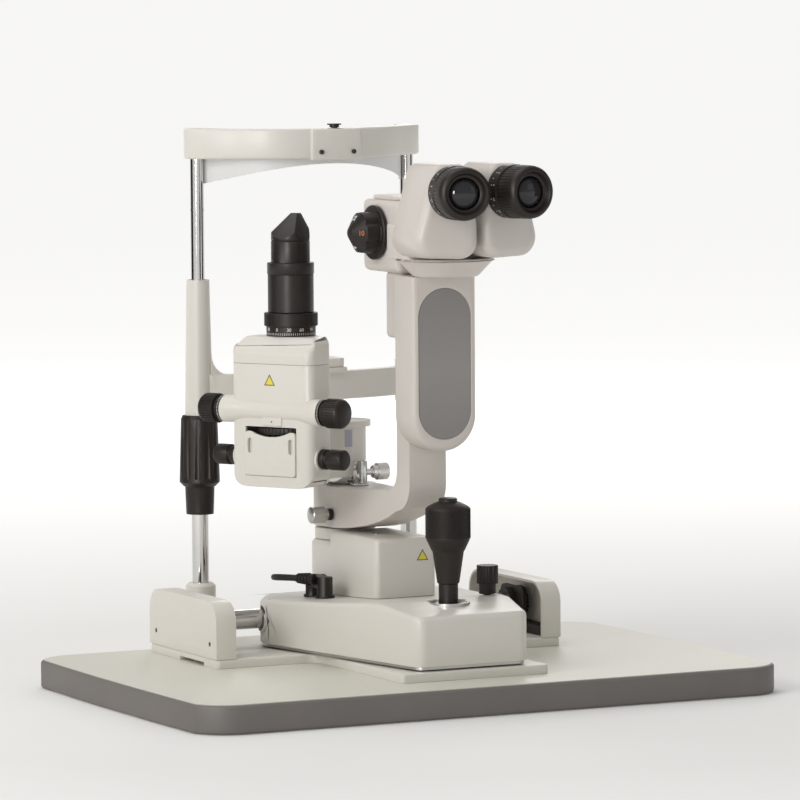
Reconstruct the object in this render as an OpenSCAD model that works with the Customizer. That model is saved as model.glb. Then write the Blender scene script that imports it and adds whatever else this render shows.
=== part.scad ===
// Slit lamp on its table top: head rest, cross slide, microscope and lamp on one pivot.
// Origin: centre of the bolt pattern on the underside of the table board.
// +X is to the operator's right, +Y towards the patient, +Z up.

/* [Table] */
// Width of the table top
table_w = 600; // [560:10:640]
// Depth of the table top
table_d = 402; // [400:2:440]
// Thickness of the table board
table_t = 27; // [24:1:32]
// Corner radius of the table top
table_r = 42; // [30:1:50]
// Width of the edge band round the board
band_w = 3; // [2:0.5:4]
// Spacing of the four mounting holes across the board
bolt_x = 160; // [140:10:180]
// Spacing of the four mounting holes along the board
bolt_y = 120; // [100:10:140]
// Radius of a mounting hole
bolt_r = 3.3; // [3:0.1:4]

/* [Base and head rest] */
// Overall width across the two track covers
base_w = 362; // [362:1:366]
// Thickness of the base plate
base_t = 8.6; // [8:0.2:10]
// Width of one track cover
cover_w = 20.5; // [20:0.5:22]
// Height of the track covers above the table
cover_h = 62; // [60:1:64]
// Distance between the axes of the two head rest poles
pole_span = 224; // [222:1:226]
// Distance of the poles behind the middle of the table
pole_y = 217; // [216:1:219]
// Radius of the lower length of a pole
pole_r = 8; // [7.5:0.1:8]
// Radius of the upper length of a pole
pole_top_r = 6.5; // [6:0.1:7]
// Height of the underside of the brow beam above the table
beam_z = 467; // [465:1:475]
// Height of the brow beam
beam_h = 29; // [26:1:30]

/* [Cross slide] */
// Distance of the axle behind the middle of the table
axle_y = 100; // [98:1:102]
// Height of the axle above the table
axle_z = 36; // [36:0.5:37]
// Radius of the axle
axle_r = 9.4; // [9:0.1:9.6]
// Rolling radius of the axle wheels
wheel_r = 16; // [15.5:0.1:16]
// Height of the underside of the carriage above the table
carriage_z = 11; // [10.5:0.5:12]

/* [Pivot and arms] */
// Distance of the pivot of both arms behind the middle of the table
pivot_y = 128; // [127:0.5:129]
// Distance from the pivot to the optical axis of the lamp
lamp_reach = 88; // [87:0.5:89]
// Angle of the lamp to the left of the microscope
lamp_angle = 60; // [58:1:62]
// Half width of the microscope arm
arm_hw = 19; // [17:0.5:20]
// Height of the microscope's optical axis above the table
optic_z = 404; // [402:1:406]
// Height of the eyepiece axes above the table
eye_z = 446; // [444:1:448]
// Angle of each eyepiece away from straight ahead
eye_angle = 10; // [8:0.5:11]

/* [Hidden] */
$fn = 64;
eps = 0.01;
gap = 0.35;

cream = "#d6d3c8";
black = "#2b2724";
steel = "#c9c9c6";

half_w = base_w / 2;
cover_front = 30;
cover_back = 183;
cover_in = half_w - cover_w;
wall = 2.4;
stick = [0, -90];
gimbal_z = 50;
shoulder_z = 104.5;
box_hw = 32;
lock_pos = [57, -58];
plug_x = -56.5;
arm_back = -23;
arm_front = -49;
pod_front = -86;
head_hw = 33;
head_front = -55;
lamp_y = -34.7;
cross_y = -29;
cross_z = 235;
cross_end = 55;
low_y = -18;
low_z = 190.5;
low_end = 47.5;
house_z0 = 163;
house_z1 = 304;
housing_r = 27;
lid_z = 279;
prism_x = 32.7;
prism_back = -103;
eye_foot = [27.5, -160];

// Everything above the board is drawn from the board's upper face.
module on_table() {
    translate([0, 0, table_t]) children();
}

module mirror_pair() {
    children();
    mirror([1, 0, 0]) children();
}

module cyl_x(r, x0, x1) {
    translate([x0, 0, 0]) rotate([0, 90, 0]) cylinder(r = r, h = x1 - x0);
}

module cyl_y(r, y0, y1) {
    translate([0, y0, 0]) rotate([-90, 0, 0]) cylinder(r = r, h = y1 - y0);
}

// Flat rectangle from corner a to corner b with true round corners.
module round_rect(a, b, r) {
    w = b[0] - a[0];
    d = b[1] - a[1];
    translate([a[0] + r, a[1]]) square([w - 2 * r, d]);
    translate([a[0], a[1] + r]) square([w, d - 2 * r]);
    for (x = [a[0] + r, b[0] - r], y = [a[1] + r, b[1] - r])
        translate([x, y]) circle(r);
}

module round_slab(a, b, r, z0, z1) {
    translate([0, 0, z0]) linear_extrude(z1 - z0) round_rect(a, b, r);
}

// Points of an arc about c from angle a0 to a1.
function arc(c, r, a0, a1, n = 12) =
    [for (i = [0:n]) c + r * [cos(a0 + (a1 - a0) * i / n), sin(a0 + (a1 - a0) * i / n)]];

// A side profile in the YZ plane, extruded along X from x0 to x1.
module side_profile(x0, x1) {
    translate([x0, 0, 0]) rotate([90, 0, 90]) linear_extrude(x1 - x0) children();
}

// ---- Table ----
module board_outline(inset) {
    bow = 4;
    w = table_w / 2 - inset;
    d = table_d / 2 - inset;
    r = table_r - inset;
    side_r = (d * d + bow * bow) / (2 * bow);
    intersection() {
        round_rect([-w, -d], [w, d], r);
        translate([w - side_r, 0]) circle(side_r, $fn = 256);
        translate([side_r - w, 0]) circle(side_r, $fn = 256);
    }
}

module table_board() {
    color(cream) difference() {
        linear_extrude(table_t) board_outline(band_w);
        for (x = [-bolt_x / 2, bolt_x / 2], y = [-bolt_y / 2, bolt_y / 2])
            translate([x, y, -1]) cylinder(r = bolt_r, h = 19);
    }
}

module edge_band() {
    color("#8a8484") translate([0, 0, 0.6]) difference() {
        linear_extrude(table_t - 1.2) board_outline(0);
        translate([0, 0, -1]) linear_extrude(table_t + 2) board_outline(band_w);
    }
}

// ---- Base and head rest ----
module base_plate() {
    fillet_r = 16;
    tongue = 76;
    color(cream) on_table() difference() {
        linear_extrude(base_t) difference() {
            union() {
                round_rect([-half_w, cover_front], [half_w, cover_back], 5);
                round_rect([-tongue, -145], [tongue, cover_front + 20], 5);
                translate([-tongue - fillet_r, cover_front - fillet_r])
                    square([2 * (tongue + fillet_r), fillet_r + 5]);
            }
            mirror_pair() translate([tongue + fillet_r, cover_front - fillet_r]) circle(fillet_r);
        }
        mirror_pair() translate([-half_w - 1, 60, -1]) cube([cover_w + 2, 55, 4.5]);
    }
}

module cover_side(inset) {
    r = 20 - inset;
    h = cover_h - inset;
    polygon(concat(
        [[cover_front + inset, 0]],
        arc([cover_front + inset + r, h - r], r, 180, 90),
        arc([cover_back - inset - r, h - r], r, 90, 0),
        [[cover_back - inset, 0]]
    ));
}

// Track cover, open below and on its inner side.
module track_cover() {
    difference() {
        translate([0, 0, base_t]) side_profile(cover_in, half_w)
            intersection() {
                translate([0, -base_t]) cover_side(0);
                square([300, 100]);
            }
        side_profile(cover_in - 1, half_w - wall) translate([0, -eps]) cover_side(wall);
        translate([half_w, 45, 22]) cyl_x(2.2, -wall - 1, 1);
        translate([half_w, 168, 22]) cyl_x(2.2, -wall - 1, 1);
    }
}

module right_cover() {
    color(cream) on_table() track_cover();
}

module left_cover() {
    color(cream) on_table() mirror([1, 0, 0]) track_cover();
}

module guide_racks() {
    pitch = 4;
    y0 = cover_front + 6;
    count = 34;
    top = axle_z - wheel_r - gap;
    color(black) on_table() mirror_pair() {
        translate([half_w - 14, y0, base_t]) cube([9, count * pitch + 2, top - 2 - base_t]);
        for (i = [0:count - 1])
            translate([half_w - 14, y0 + 1 + i * pitch, top - 2 - eps]) cube([9, 2, 2]);
    }
}

module head_poles() {
    color(steel) on_table() mirror_pair() translate([pole_span / 2, pole_y, 0]) {
        translate([0, 0, 30]) cylinder(r = pole_r, h = 315);
        translate([0, 0, 345 - eps]) cylinder(r = pole_top_r, h = beam_z - 345 + 16);
        translate([0, 0, 417]) cylinder(r = pole_top_r + 0.3, h = 1.6);
    }
}

module pole_feet() {
    foot_r = 14.5;
    color(cream) on_table() mirror_pair() difference() {
        union() {
            translate([pole_span / 2, pole_y, -table_t + 4]) cylinder(r = foot_r, h = table_t + 52);
            translate([pole_span / 2, pole_y, 56 - eps]) cylinder(r1 = foot_r, r2 = foot_r - 3, h = 3);
            translate([pole_span / 2 - foot_r, cover_back + eps, 0])
                cube([2 * foot_r, pole_y - cover_back, base_t]);
        }
        translate([pole_span / 2, pole_y, 30]) cylinder(r = pole_r, h = 60);
        translate([0, 0, -table_t - 5]) linear_extrude(table_t + 5.01) board_outline(-0.3);
    }
}

beam_sag = 72;
beam_half = pole_span / 2;
beam_mid_y = pole_y - beam_sag;
bow_r = (beam_half * beam_half + beam_sag * beam_sag) / (2 * beam_sag);
bow_c = beam_mid_y + bow_r;

// Ring sector about the bow's centre between the two poles.
module bow_band(r_out, r_in, y_end) {
    difference() {
        translate([0, bow_c]) circle(r_out, $fn = 192);
        translate([0, bow_c]) circle(r_in, $fn = 192);
        translate([-300, y_end]) square([600, 600]);
    }
}

module brow_beam() {
    boss = 12.2;
    color(cream) on_table() difference() {
        union() {
            translate([0, 0, beam_z]) linear_extrude(beam_h) {
                bow_band(bow_r + 4, bow_r - 5, pole_y);
                mirror_pair() translate([beam_half, pole_y]) circle(boss);
            }
            translate([0, 0, beam_z - 1.4]) linear_extrude(beam_h + 2) difference() {
                bow_band(bow_r + 7.5, bow_r - 5, beam_mid_y + 30);
                mirror_pair() translate([25, 0]) square([60, 300]);
            }
        }
        mirror_pair() translate([beam_half, pole_y, beam_z - 5]) cylinder(r = pole_top_r, h = 21);
        mirror_pair() translate([17, beam_mid_y - 10, beam_z + 6.5]) cyl_y(2.2, 0, 12);
        translate([0, beam_mid_y + 0.5, beam_z + beam_h - 8]) cylinder(r = 3, h = 20);
    }
}

// Thin forehead band behind the beam, deeper at its two ends.
module brow_band() {
    t = 2.2;
    r0 = bow_r - 5.3;
    color("#dfe3e2") on_table() difference() {
        translate([0, 0, beam_z - 26]) linear_extrude(50) bow_band(r0, r0 - t, pole_y + 8);
        translate([0, 0, beam_z - 5 - 240]) cyl_y_wide();
        mirror_pair() translate([beam_half, pole_y, 0]) cylinder(r = pole_top_r + gap, h = 600);
        mirror_pair() translate([beam_half, pole_y, beam_z - 0.4]) cylinder(r = 12.6, h = 60);
    }
}

// Arch that cuts the lower edge of the forehead band.
module cyl_y_wide() {
    translate([0, 100, 240 - 302]) cyl_y(302, 0, 200);
}

module stand_screws() {
    color(black) on_table() {
        mirror_pair() translate([17, beam_mid_y - 8.2, beam_z + 6.5]) cyl_y(2.2, 0, 7);
        mirror_pair() for (y = [45, 168])
            translate([half_w, y, 22]) {
                cyl_x(2.2, -5, 0);
                cyl_x(3.2, -0.6 - wall, -wall - 0.05);
            }
    }
}

module fixation_socket() {
    z0 = beam_z + beam_h;
    color(black) on_table() translate([0, beam_mid_y + 0.5, 0]) {
        translate([0, 0, z0 - 7]) cylinder(r = 3, h = 9);
        translate([0, 0, z0 + 0.7]) cylinder(r = 4.6, h = 2.4);
        translate([0, 0, z0 + 3]) cylinder(r = 6.8, h = 1.2);
    }
}

// ---- Chin rest ----
chin_sag = 30;
chin_r = (beam_half * beam_half + chin_sag * chin_sag) / (2 * chin_sag);
chin_c = pole_y - chin_sag + chin_r;

module chin_rest() {
    r_in = pole_r + gap;
    fillet = 20;
    color(cream) on_table() difference() {
        union() {
            translate([-beam_half, pole_y, 221]) cylinder(r1 = 13.6, r2 = 11, h = 130);
            translate([beam_half, pole_y, 226]) cylinder(r = 12.5, h = 40);
            translate([0, 0, 233]) linear_extrude(27) difference() {
                translate([0, chin_c]) circle(chin_r + 7, $fn = 192);
                translate([0, chin_c]) circle(chin_r - 7, $fn = 192);
                translate([-300, pole_y]) square([600, 600]);
            }
            translate([0, pole_y - chin_sag - 1, 259]) linear_extrude(5) round_rect([-30, -9], [30, 28], 8);
            translate([-beam_half + 8, pole_y - 4, 259]) rotate([90, 0, 0]) linear_extrude(9)
                difference() {
                    square([fillet, fillet]);
                    translate([fillet, fillet]) circle(fillet);
                }
        }
        mirror_pair() translate([beam_half, pole_y, 200]) cylinder(r = r_in, h = 200);
    }
}

module chin_cup() {
    y0 = pole_y - chin_sag - 1;
    color("#e4e4dd") on_table() difference() {
        translate([0, y0, 264]) linear_extrude(9) round_rect([-28, -7], [28, 27], 9);
        translate([0, y0 + 10, 264 + 39]) sphere(r = 34, $fn = 96);
    }
}

module height_ring() {
    flutes = 12;
    color(black) on_table() translate([-beam_half, pole_y, 0]) difference() {
        union() {
            translate([0, 0, 125.5]) cylinder(r1 = 13.2, r2 = 14.2, h = 27);
            translate([0, 0, 152.4]) cylinder(r1 = 15.5, r2 = 19.4, h = 4);
            translate([0, 0, 156.3]) cylinder(r1 = 19.4, r2 = 17.6, h = 61);
            translate([0, 0, 217.2]) cylinder(r1 = 17.6, r2 = 16, h = 3.4);
        }
        translate([0, 0, 120]) cylinder(r = pole_r + gap, h = 110);
        for (i = [0:flutes - 1])
            rotate(i * 360 / flutes) translate([20.6, 0, 160]) cylinder(r = 3.1, h = 62);
    }
}

// ---- Cross slide ----
module axle_bearings() {
    color(black) on_table() mirror_pair() translate([0, axle_y, 0]) difference() {
        union() {
            translate([0, 0, axle_z]) cyl_x(14.2, cover_in - 4.5, cover_in + 2);
            side_profile(cover_in + 1, cover_in + 5)
                round_rect([-30, axle_z - 13], [17, axle_z + 17], 6);
        }
        translate([0, 0, axle_z]) cyl_x(axle_r + 0.05, cover_in - 10, half_w);
    }
}

module axle_shaft() {
    color(steel) on_table() translate([0, axle_y, axle_z]) {
        cyl_x(axle_r, -half_w + 4, half_w - 4);
    }
}

module axle_wheels() {
    teeth = 24;
    x0 = half_w - 13;
    color(black) on_table() translate([0, axle_y, axle_z]) mirror_pair() difference() {
        union() {
            cyl_x(wheel_r - 2, x0, x0 + 7);
            for (i = [0:teeth - 1])
                rotate([i * 360 / teeth, 0, 0]) translate([x0, -1, wheel_r - 3]) cube([7, 2, 2.8]);
        }
        cyl_x(axle_r, x0 - 1, x0 + 9);
    }
}

// Plan outline of the carriage, narrow at the operator's end.
module carriage_plan(inset) {
    hull() {
        for (s = [-1, 1]) {
            translate([s * 47, -129]) circle(12 - inset);
            translate([s * 63, 92]) circle(40 - inset);
            translate([s * 55, 118]) circle(34 - inset);
        }
    }
}

// Height of the carriage's upper face along its length, as [y, z].
deck = [[-160, 56.5], [-122, 60.5], [-84, 66], [-62, 65.5], [-8, 60.5], [60, 56.5], [150, 52.5], [170, 51.5]];

module carriage_side(drop) {
    polygon(concat(
        [[-160, carriage_z - 1]],
        [for (p = deck) p - [0, drop]],
        [[170, carriage_z - 1]]
    ));
}

module carriage_shell() {
    color(cream) on_table() difference() {
        intersection() {
            translate([0, 0, carriage_z + 2]) linear_extrude(80) carriage_plan(0);
            side_profile(-200, 200) carriage_side(0);
        }
        intersection() {
            translate([0, 0, carriage_z - 1]) linear_extrude(80) carriage_plan(3);
            side_profile(-200, 200) carriage_side(3);
        }
        translate([0, axle_y, axle_z]) cyl_x(axle_r + 2.6, -200, 200);
        translate([stick[0], stick[1], 40]) cylinder(r = 19.5, h = 40);
        translate([lock_pos[0], lock_pos[1], 40]) cylinder(r = 4.2, h = 40);
        translate([plug_x, 56, 45]) cylinder(r = 3.2, h = 30);
        translate([plug_x, 84, 45]) cylinder(r = 3.2, h = 30);
        translate([0, pivot_y, 40]) cylinder(r = 24, h = 40);
    }
}

// Bottom plate that carries the slide bushes on the axle.
module slide_plate() {
    color(steel) on_table() difference() {
        union() {
            translate([0, 0, carriage_z - 0.8]) linear_extrude(2.6) carriage_plan(2.2);
            for (x = [-70, 50])
                side_profile(x, x + 20)
                    round_rect([axle_y - 14, carriage_z + 1], [axle_y + 14, axle_z + 13], 3);
            translate([stick[0], stick[1], carriage_z + 1]) difference() {
                cylinder(r = 24, h = gimbal_z - carriage_z + 5);
                translate([0, 0, 8]) cylinder(r = 21, h = 60);
            }
        }
        translate([0, axle_y, axle_z]) cyl_x(axle_r + 0.05, -200, 200);
        translate([stick[0], stick[1], gimbal_z]) cyl_x(2.5 + 0.05, -30, 30);
        translate([stick[0], stick[1], 0]) cylinder(r = 10, h = 30);
        translate([0, pivot_y, 0]) cylinder(r = 14, h = 30);
    }
}

module box_plan(inset) {
    w = box_hw - inset;
    translate([0, pivot_y]) circle(w);
    round_rect([-w, -3 + inset], [w, pivot_y - 20], 6 - inset);
    translate([-w, 60]) square([2 * w, pivot_y - 60]);
}

module box_side(drop) {
    polygon([[-10, 30], [-10, 116 - drop], [98, 116 - drop], [98.01, shoulder_z - drop],
        [170, shoulder_z - drop], [170, 30]]);
}

// Housing of the elevation screw, standing on the carriage.
module column_box() {
    color(cream) on_table() difference() {
        intersection() {
            translate([0, 0, 44]) linear_extrude(90) box_plan(0);
            side_profile(-60, 60) box_side(0);
        }
        side_profile(-61, 61) carriage_side(-0.4);
        translate([0, pivot_y, 30]) cylinder(r = 24 + gap, h = 100);
        intersection() {
            translate([0, 0, 40]) linear_extrude(90) box_plan(3);
            side_profile(-60, 60) box_side(3);
            translate([-60, -20, 0]) cube([120, 115, 130]);
        }
    }
}

module joystick_socket() {
    color(steel) on_table() translate([stick[0], stick[1], 0]) difference() {
        translate([0, 0, 57]) cylinder(r = 19.2, h = 8.2);
        translate([0, 0, 50]) cylinder(r1 = 15, r2 = 18.4, h = 20);
    }
}

module carriage_lock_knob() {
    color(black) on_table() translate([lock_pos[0], lock_pos[1], 0]) {
        translate([0, 0, 50]) cylinder(r = 3.6, h = 17);
        translate([0, 0, 66.4]) cylinder(r = 8, h = 10);
        difference() {
            translate([0, 0, 76 - eps]) cylinder(r = 10, h = 17);
            for (i = [0:15])
                rotate(i * 22.5) translate([10.6, 0, 70]) cylinder(r = 1.4, h = 40);
        }
    }
}

// ---- Lamp lead ----
lead_r = 3;
lead_route = [
    [-74, 80, 74.5], [-76.2, 84.2, 74.5], [-78.4, 89, 74.4], [-80.6, 94.4, 74.2], [-82.2, 100, 73.9],
    [-82.8, 106, 73.4], [-82.2, 112, 72.8], [-80.4, 117.6, 72.1], [-77.4, 122.8, 71.3], [-73.4, 127.2, 70.5],
    [-68.6, 130.4, 69.8], [-63.2, 132.2, 69.2], [-57.6, 132.4, 68.7], [-52.2, 131, 68.3], [-47.2, 128, 68.1],
    [-42.6, 123.8, 68], [-38.5, 118.5, 68]
];

function unit(v) = v / norm(v);
function lead_dir(i) = unit(lead_route[min(i + 1, len(lead_route) - 1)] - lead_route[max(i - 1, 0)]);
// Smooth curve through the route's points, k is the point and t runs from 0 to 1.
function route_at(p, k, t) =
    let (n = len(p) - 1)
    let (a = p[max(k - 1, 0)], b = p[k], c = p[min(k + 1, n)], d = p[min(k + 2, n)])
    0.5 * (2 * b + (c - a) * t + (2 * a - 5 * b + 4 * c - d) * t * t + (3 * b - a - 3 * c + d) * t * t * t);

module swept_tube(route, r, sides, steps) {
    n = (len(route) - 1) * steps;
    pts = [for (i = [0:n]) route_at(route, min(floor(i / steps), len(route) - 2),
        i == n ? 1 : (i % steps) / steps)];
    dirs = [for (i = [0:n]) unit(pts[min(i + 1, n)] - pts[max(i - 1, 0)])];
    verts = [for (i = [0:n]) for (j = [0:sides - 1])
        let (u = unit(cross(dirs[i], [0, 0, 1])), v = cross(u, dirs[i]), a = 360 * j / sides)
        pts[i] + r * (cos(a) * u + sin(a) * v)];
    faces = concat(
        [[for (j = [0:sides - 1]) j]],
        [[for (j = [sides - 1:-1:0]) n * sides + j]],
        [for (i = [0:n - 1]) for (j = [0:sides - 1])
            [i * sides + j, (i + 1) * sides + j, (i + 1) * sides + (j + 1) % sides, i * sides + (j + 1) % sides]]
    );
    polyhedron(points = verts, faces = faces, convexity = 6);
}

module lamp_lead() {
    color(black) on_table() swept_tube(lead_route, lead_r, 10, 2);
}

module lead_plug() {
    top = 77;
    front_z = 57.6;
    back_z = 55.9;
    color(black) on_table() {
        union() {
            translate([plug_x, 56, front_z]) cylinder(r = 7.4, h = top - front_z);
            translate([plug_x, 56, front_z]) cylinder(r = 9.4, h = 2.2);
            translate([plug_x, 84, back_z]) cylinder(r = 6.2, h = top - 3 - back_z);
            translate([plug_x, 84, back_z]) cylinder(r = 8, h = 2);
            translate([plug_x, 84, 49]) cylinder(r = 2.6, h = 8);
            translate([plug_x, 56, 49]) cylinder(r = 2.6, h = 10);
            translate([plug_x - 6, 56, 66]) cube([12, 28, top - 66]);
        }
    }
}

// Ribbed strain relief from the plug to the lead.
module lead_boot() {
    dir = unit(lead_route[1] - lead_route[0]);
    turn = atan2(dir[1], dir[0]);
    color(black) on_table() difference() {
        translate(lead_route[0]) rotate([0, 0, turn]) rotate([0, -90, 0]) {
            cylinder(r1 = 3.9, r2 = 5.4, h = 21);
            for (k = [0:3]) translate([0, 0, 2 + k * 3.6]) cylinder(r = 4.9 + k * 0.3, h = 1.8);
        }
        translate([plug_x - 6.03, 50, 60]) cube([12, 40, 30]);
    }
}

module lead_gland() {
    a = lead_route[len(lead_route) - 1];
    b = [-31.2, 109, 68];
    dir = unit(b - a);
    color(black) on_table() difference() {
        translate(a) rotate([0, 0, atan2(dir[1], dir[0])]) rotate([0, 90, 0]) cylinder(r1 = 4, r2 = 6, h = 18);
        translate([-box_hw - 0.03, 80, 50]) cube([40, 60, 40]);
    }
}

// ---- Joystick ----
module gimbal_ring() {
    color(steel) on_table() translate([stick[0], stick[1], gimbal_z]) {
        difference() {
            translate([0, 0, -3.5]) cylinder(r = 17, h = 7);
            translate([0, 0, -5]) cylinder(r = 12, h = 10);
            cyl_y(2.55, -20, 20);
        }
        mirror_pair() cyl_x(2.5, 16, 23.5);
    }
}

module joystick_stem() {
    color(black) on_table() translate([stick[0], stick[1], 0]) {
        translate([0, 0, gimbal_z - 14]) cylinder(r = 6, h = 20);
        translate([0, 0, gimbal_z]) cyl_y(2.5, -17.4, 17.4);
        translate([0, 0, gimbal_z - 17]) sphere(r = 8);
        translate([0, 0, gimbal_z + 5]) cylinder(r = 9, h = 27);
        translate([0, 0, 81.5]) cylinder(r = 5, h = 60);
    }
}

module joystick_grip() {
    color(black) on_table() translate([stick[0], stick[1], 0]) difference() {
        rotate_extrude() polygon(concat(
            [[5.35, 82.4], [9.6, 82.4], [10.2, 83], [14.6, 112.5], [15.2, 113.6], [20.4, 123.5], [20.9, 125]],
            [[20.9, 151], [20.2, 153.5]],
            [[17, 156], [12, 157.6], [9.4, 158], [9.4, 150], [5.35, 143.2]]
        ));
        for (i = [0:35])
            rotate(i * 10) translate([21.3, 0, 126]) cylinder(r = 0.9, h = 24);
    }
}

module joystick_button() {
    color(black) on_table() translate([stick[0], stick[1], 0])
        rotate_extrude() polygon([[0, 152.6], [8.6, 152.6], [8.6, 160.5], [8, 161.3], [6, 161.8], [0, 162]]);
}

// ---- Column ----
module column_post() {
    flange_z = shoulder_z + gap;
    color(cream) on_table() translate([0, pivot_y, 0]) difference() {
        union() {
            translate([0, 0, 60]) cylinder(r = 24, h = flange_z - 60 + eps);
            translate([0, 0, flange_z]) cylinder(r = 29, h = 116 - flange_z);
        }
        translate([0, 0, 55]) cylinder(r = 12, h = 70);
    }
}

module column_shaft() {
    color(steel) on_table() translate([0, pivot_y, 0]) {
        translate([0, 0, 60]) cylinder(r = 12, h = 146);
    }
}

// ---- Microscope arm ----
module arm_side() {
    polygon(concat(
        [[pivot_y + 40, 118], [100, 118], [71, 120], [39, 125.2], [14, 131.4], [-4, 137], [-20, 143.6]],
        arc([-23, 171], 26, 262, 180, 14),
        [[arm_front, 330], [arm_back, 330]],
        arc([arm_back + 22, 183], 22, 180, 264, 12),
        [[20, 160], [70, 157], [pivot_y + 40, 157]]
    ));
}

module arm_plan() {
    translate([0, pivot_y]) circle(30);
    polygon([[-28, pivot_y - 10], [-27, 90], [-arm_hw, 20], [-arm_hw, -80], [arm_hw, -80], [arm_hw, 20],
        [27, 90], [28, pivot_y - 10]]);
}

module microscope_arm() {
    color(cream) on_table() difference() {
        intersection() {
            side_profile(-60, 60) arm_side();
            translate([0, 0, 100]) linear_extrude(300) arm_plan();
        }
        translate([0, pivot_y, 100]) cylinder(r = 12.06, h = 100);
        translate([-60, 100, 131]) cyl_x(3.1, 0, 48);
    }
}

module arm_lock_knob() {
    color(steel) on_table() translate([0, 100, 131]) {
        cyl_x(7.9, -50, -36);
        cyl_x(5.4, -36.1, -29.2);
        cyl_x(3, -30, -13.5);
    }
}

module arm_bracket() {
    color(steel) on_table() difference() {
        union() {
            translate([0, 89, 157]) cube([8, 14, 24]);
            translate([-12, 89, 157]) cube([14, 14, 3]);
        }
        translate([0, 96, 170]) cyl_x(3.06, -5, 20);
    }
}

module clamp_knob() {
    color(steel) on_table() translate([0, 96, 170]) {
        cyl_x(3, 0.5, 14);
        difference() {
            cyl_x(8.2, 12, 29);
            for (i = [0:17])
                rotate([i * 20, 0, 0]) translate([10, 0, 8.9]) cyl_x(1, 6, 30);
        }
    }
}

module pod_front_shape(inset) {
    r = 33 - inset;
    translate([0, 204 + 33]) circle(r);
    translate([-r, 204 + 33]) square([2 * r, 128.9 - inset]);
}

// Camera housing in front of the arm.
module camera_pod() {
    color(cream) on_table() difference() {
        translate([0, -53 + 3.6, 0]) rotate([90, 0, 0]) linear_extrude(-53 + 3.6 - pod_front) pod_front_shape(0);
        translate([0, -49.2, 0]) rotate([90, 0, 0]) linear_extrude(-49.2 - pod_front - 3)
            difference() {
                pod_front_shape(3);
                translate([-15, 300]) square([30, 100]);
            }
        translate([0, pod_front + 1.5, 0]) rotate([90, 0, 0]) linear_extrude(5) panel_shape(0.3);
        translate([-arm_hw - 0.2, arm_front - 0.2, 180]) cube([2 * arm_hw + 0.4, 5, 200]);
    }
}

module panel_shape(extra) {
    r = 26.6 + extra;
    translate([0, 242]) circle(r);
    translate([0, 328]) circle(r);
    translate([-r, 242]) square([2 * r, 86]);
}

module pod_panel() {
    color("#8f8c8c") on_table() translate([0, pod_front + 1.4, 0]) rotate([90, 0, 0])
        linear_extrude(1.2) panel_shape(0);
}

module microscope_head() {
    color(cream) on_table() difference() {
        union() {
            round_slab([-head_hw, head_front], [head_hw, 19], 7, 367, 434);
            translate([0, 0, 306]) linear_extrude(61.5) round_rect([-25, -48.6], [25, -12], 6);
        }
        translate([-arm_hw - 0.1, arm_front - 6, 300]) cube([2 * arm_hw + 0.2, arm_back - arm_front + 6.2, 30.2]);
        translate([0, 0, optic_z]) cyl_y(21, -1, 30);
        translate([0, -13, optic_z]) cyl_x(4.1, -40, -20);
    }
}

module head_cap() {
    color(cream) on_table() round_slab([-27, -49], [27, 13], 9, 434, 438);
}

module objective_lens() {
    color("#9fb4c0") on_table() translate([0, 0, optic_z]) {
        cyl_y(20.8, 4, 12);
    }
}

module magnification_knob() {
    facets = 8;
    color(black) on_table() translate([0, -13, optic_z]) {
        cyl_x(4, -38, -21);
        cyl_x(25.4, -37.5, -33.6);
        translate([-37.4, 0, 0]) rotate([0, -90, 0]) difference() {
            union() {
                cylinder(r = 19.6, h = 21);
                translate([0, 0, 21 - eps]) cylinder(r1 = 19.6, r2 = 12, h = 5.5);
            }
            for (i = [0:facets - 1])
                rotate(i * 360 / facets) translate([21.4, 0, 4]) cylinder(r = 4.4, h = 40);
        }
    }
}

module binocular_base() {
    color(cream) on_table() difference() {
        union() {
            translate([0, -88, 366]) cylinder(r1 = 30, r2 = 44, h = 15);
            translate([0, -88, 381 - eps]) cylinder(r = 44, h = 2);
            translate([-44, prism_back + 0.4, 382]) cube([88, 50, 32]);
            for (s = [-1, 1]) translate([s * prism_x, 0, 400]) cyl_y(12, prism_back - 2.9, prism_back + 20);
        }
        translate([-60, head_front - gap / 4, 360]) cube([120, 40, 60]);
    }
}

// Outline of the right prism housing seen from the front, about its turning axis.
module prism_front(inset) {
    polygon(concat(
        [[-12, 471.5 - inset], [8, 471.5 - inset]],
        [[14 - inset, 468 - inset], [30 - inset, 408]],
        arc([14, 401], 16 - inset, 0, -90, 6),
        arc([-14, 401], 16 - inset, -90, -180, 6),
        [[-30 + inset, 416], [-25.5 + inset, 456], [-21 + inset, 465 - inset / 2]]
    ));
}

// Local frame of one optical tube: s is -1 for left and 1 for right, -Y runs out of the eyepiece.
module eye_frame(s) {
    translate([s * eye_foot[0], eye_foot[1], 0]) rotate(s * eye_angle) children();
}

module prism_housing(s) {
    x = s * prism_x;
    color(cream) on_table() difference() {
        translate([x, prism_back, 0]) rotate([90, 0, 0]) linear_extrude(64) scale([s, 1]) prism_front(0);
        difference() {
            translate([x, prism_back - 3, 0]) rotate([90, 0, 0]) linear_extrude(50) scale([s, 1]) prism_front(3);
            eye_frame(s) translate([-80, -20, 300]) cube([160, 23, 200]);
        }
        eye_frame(s) translate([-80, -40, 300]) cube([160, 40, 200]);
        eye_frame(s) translate([0, 0, eye_z]) cyl_y(16.65, -10, 10);
        translate([x, 0, 400]) cyl_y(12.06, prism_back - 10, prism_back + 10);
    }
}

module left_prism_housing() {
    prism_housing(-1);
}

module right_prism_housing() {
    prism_housing(1);
}

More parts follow.
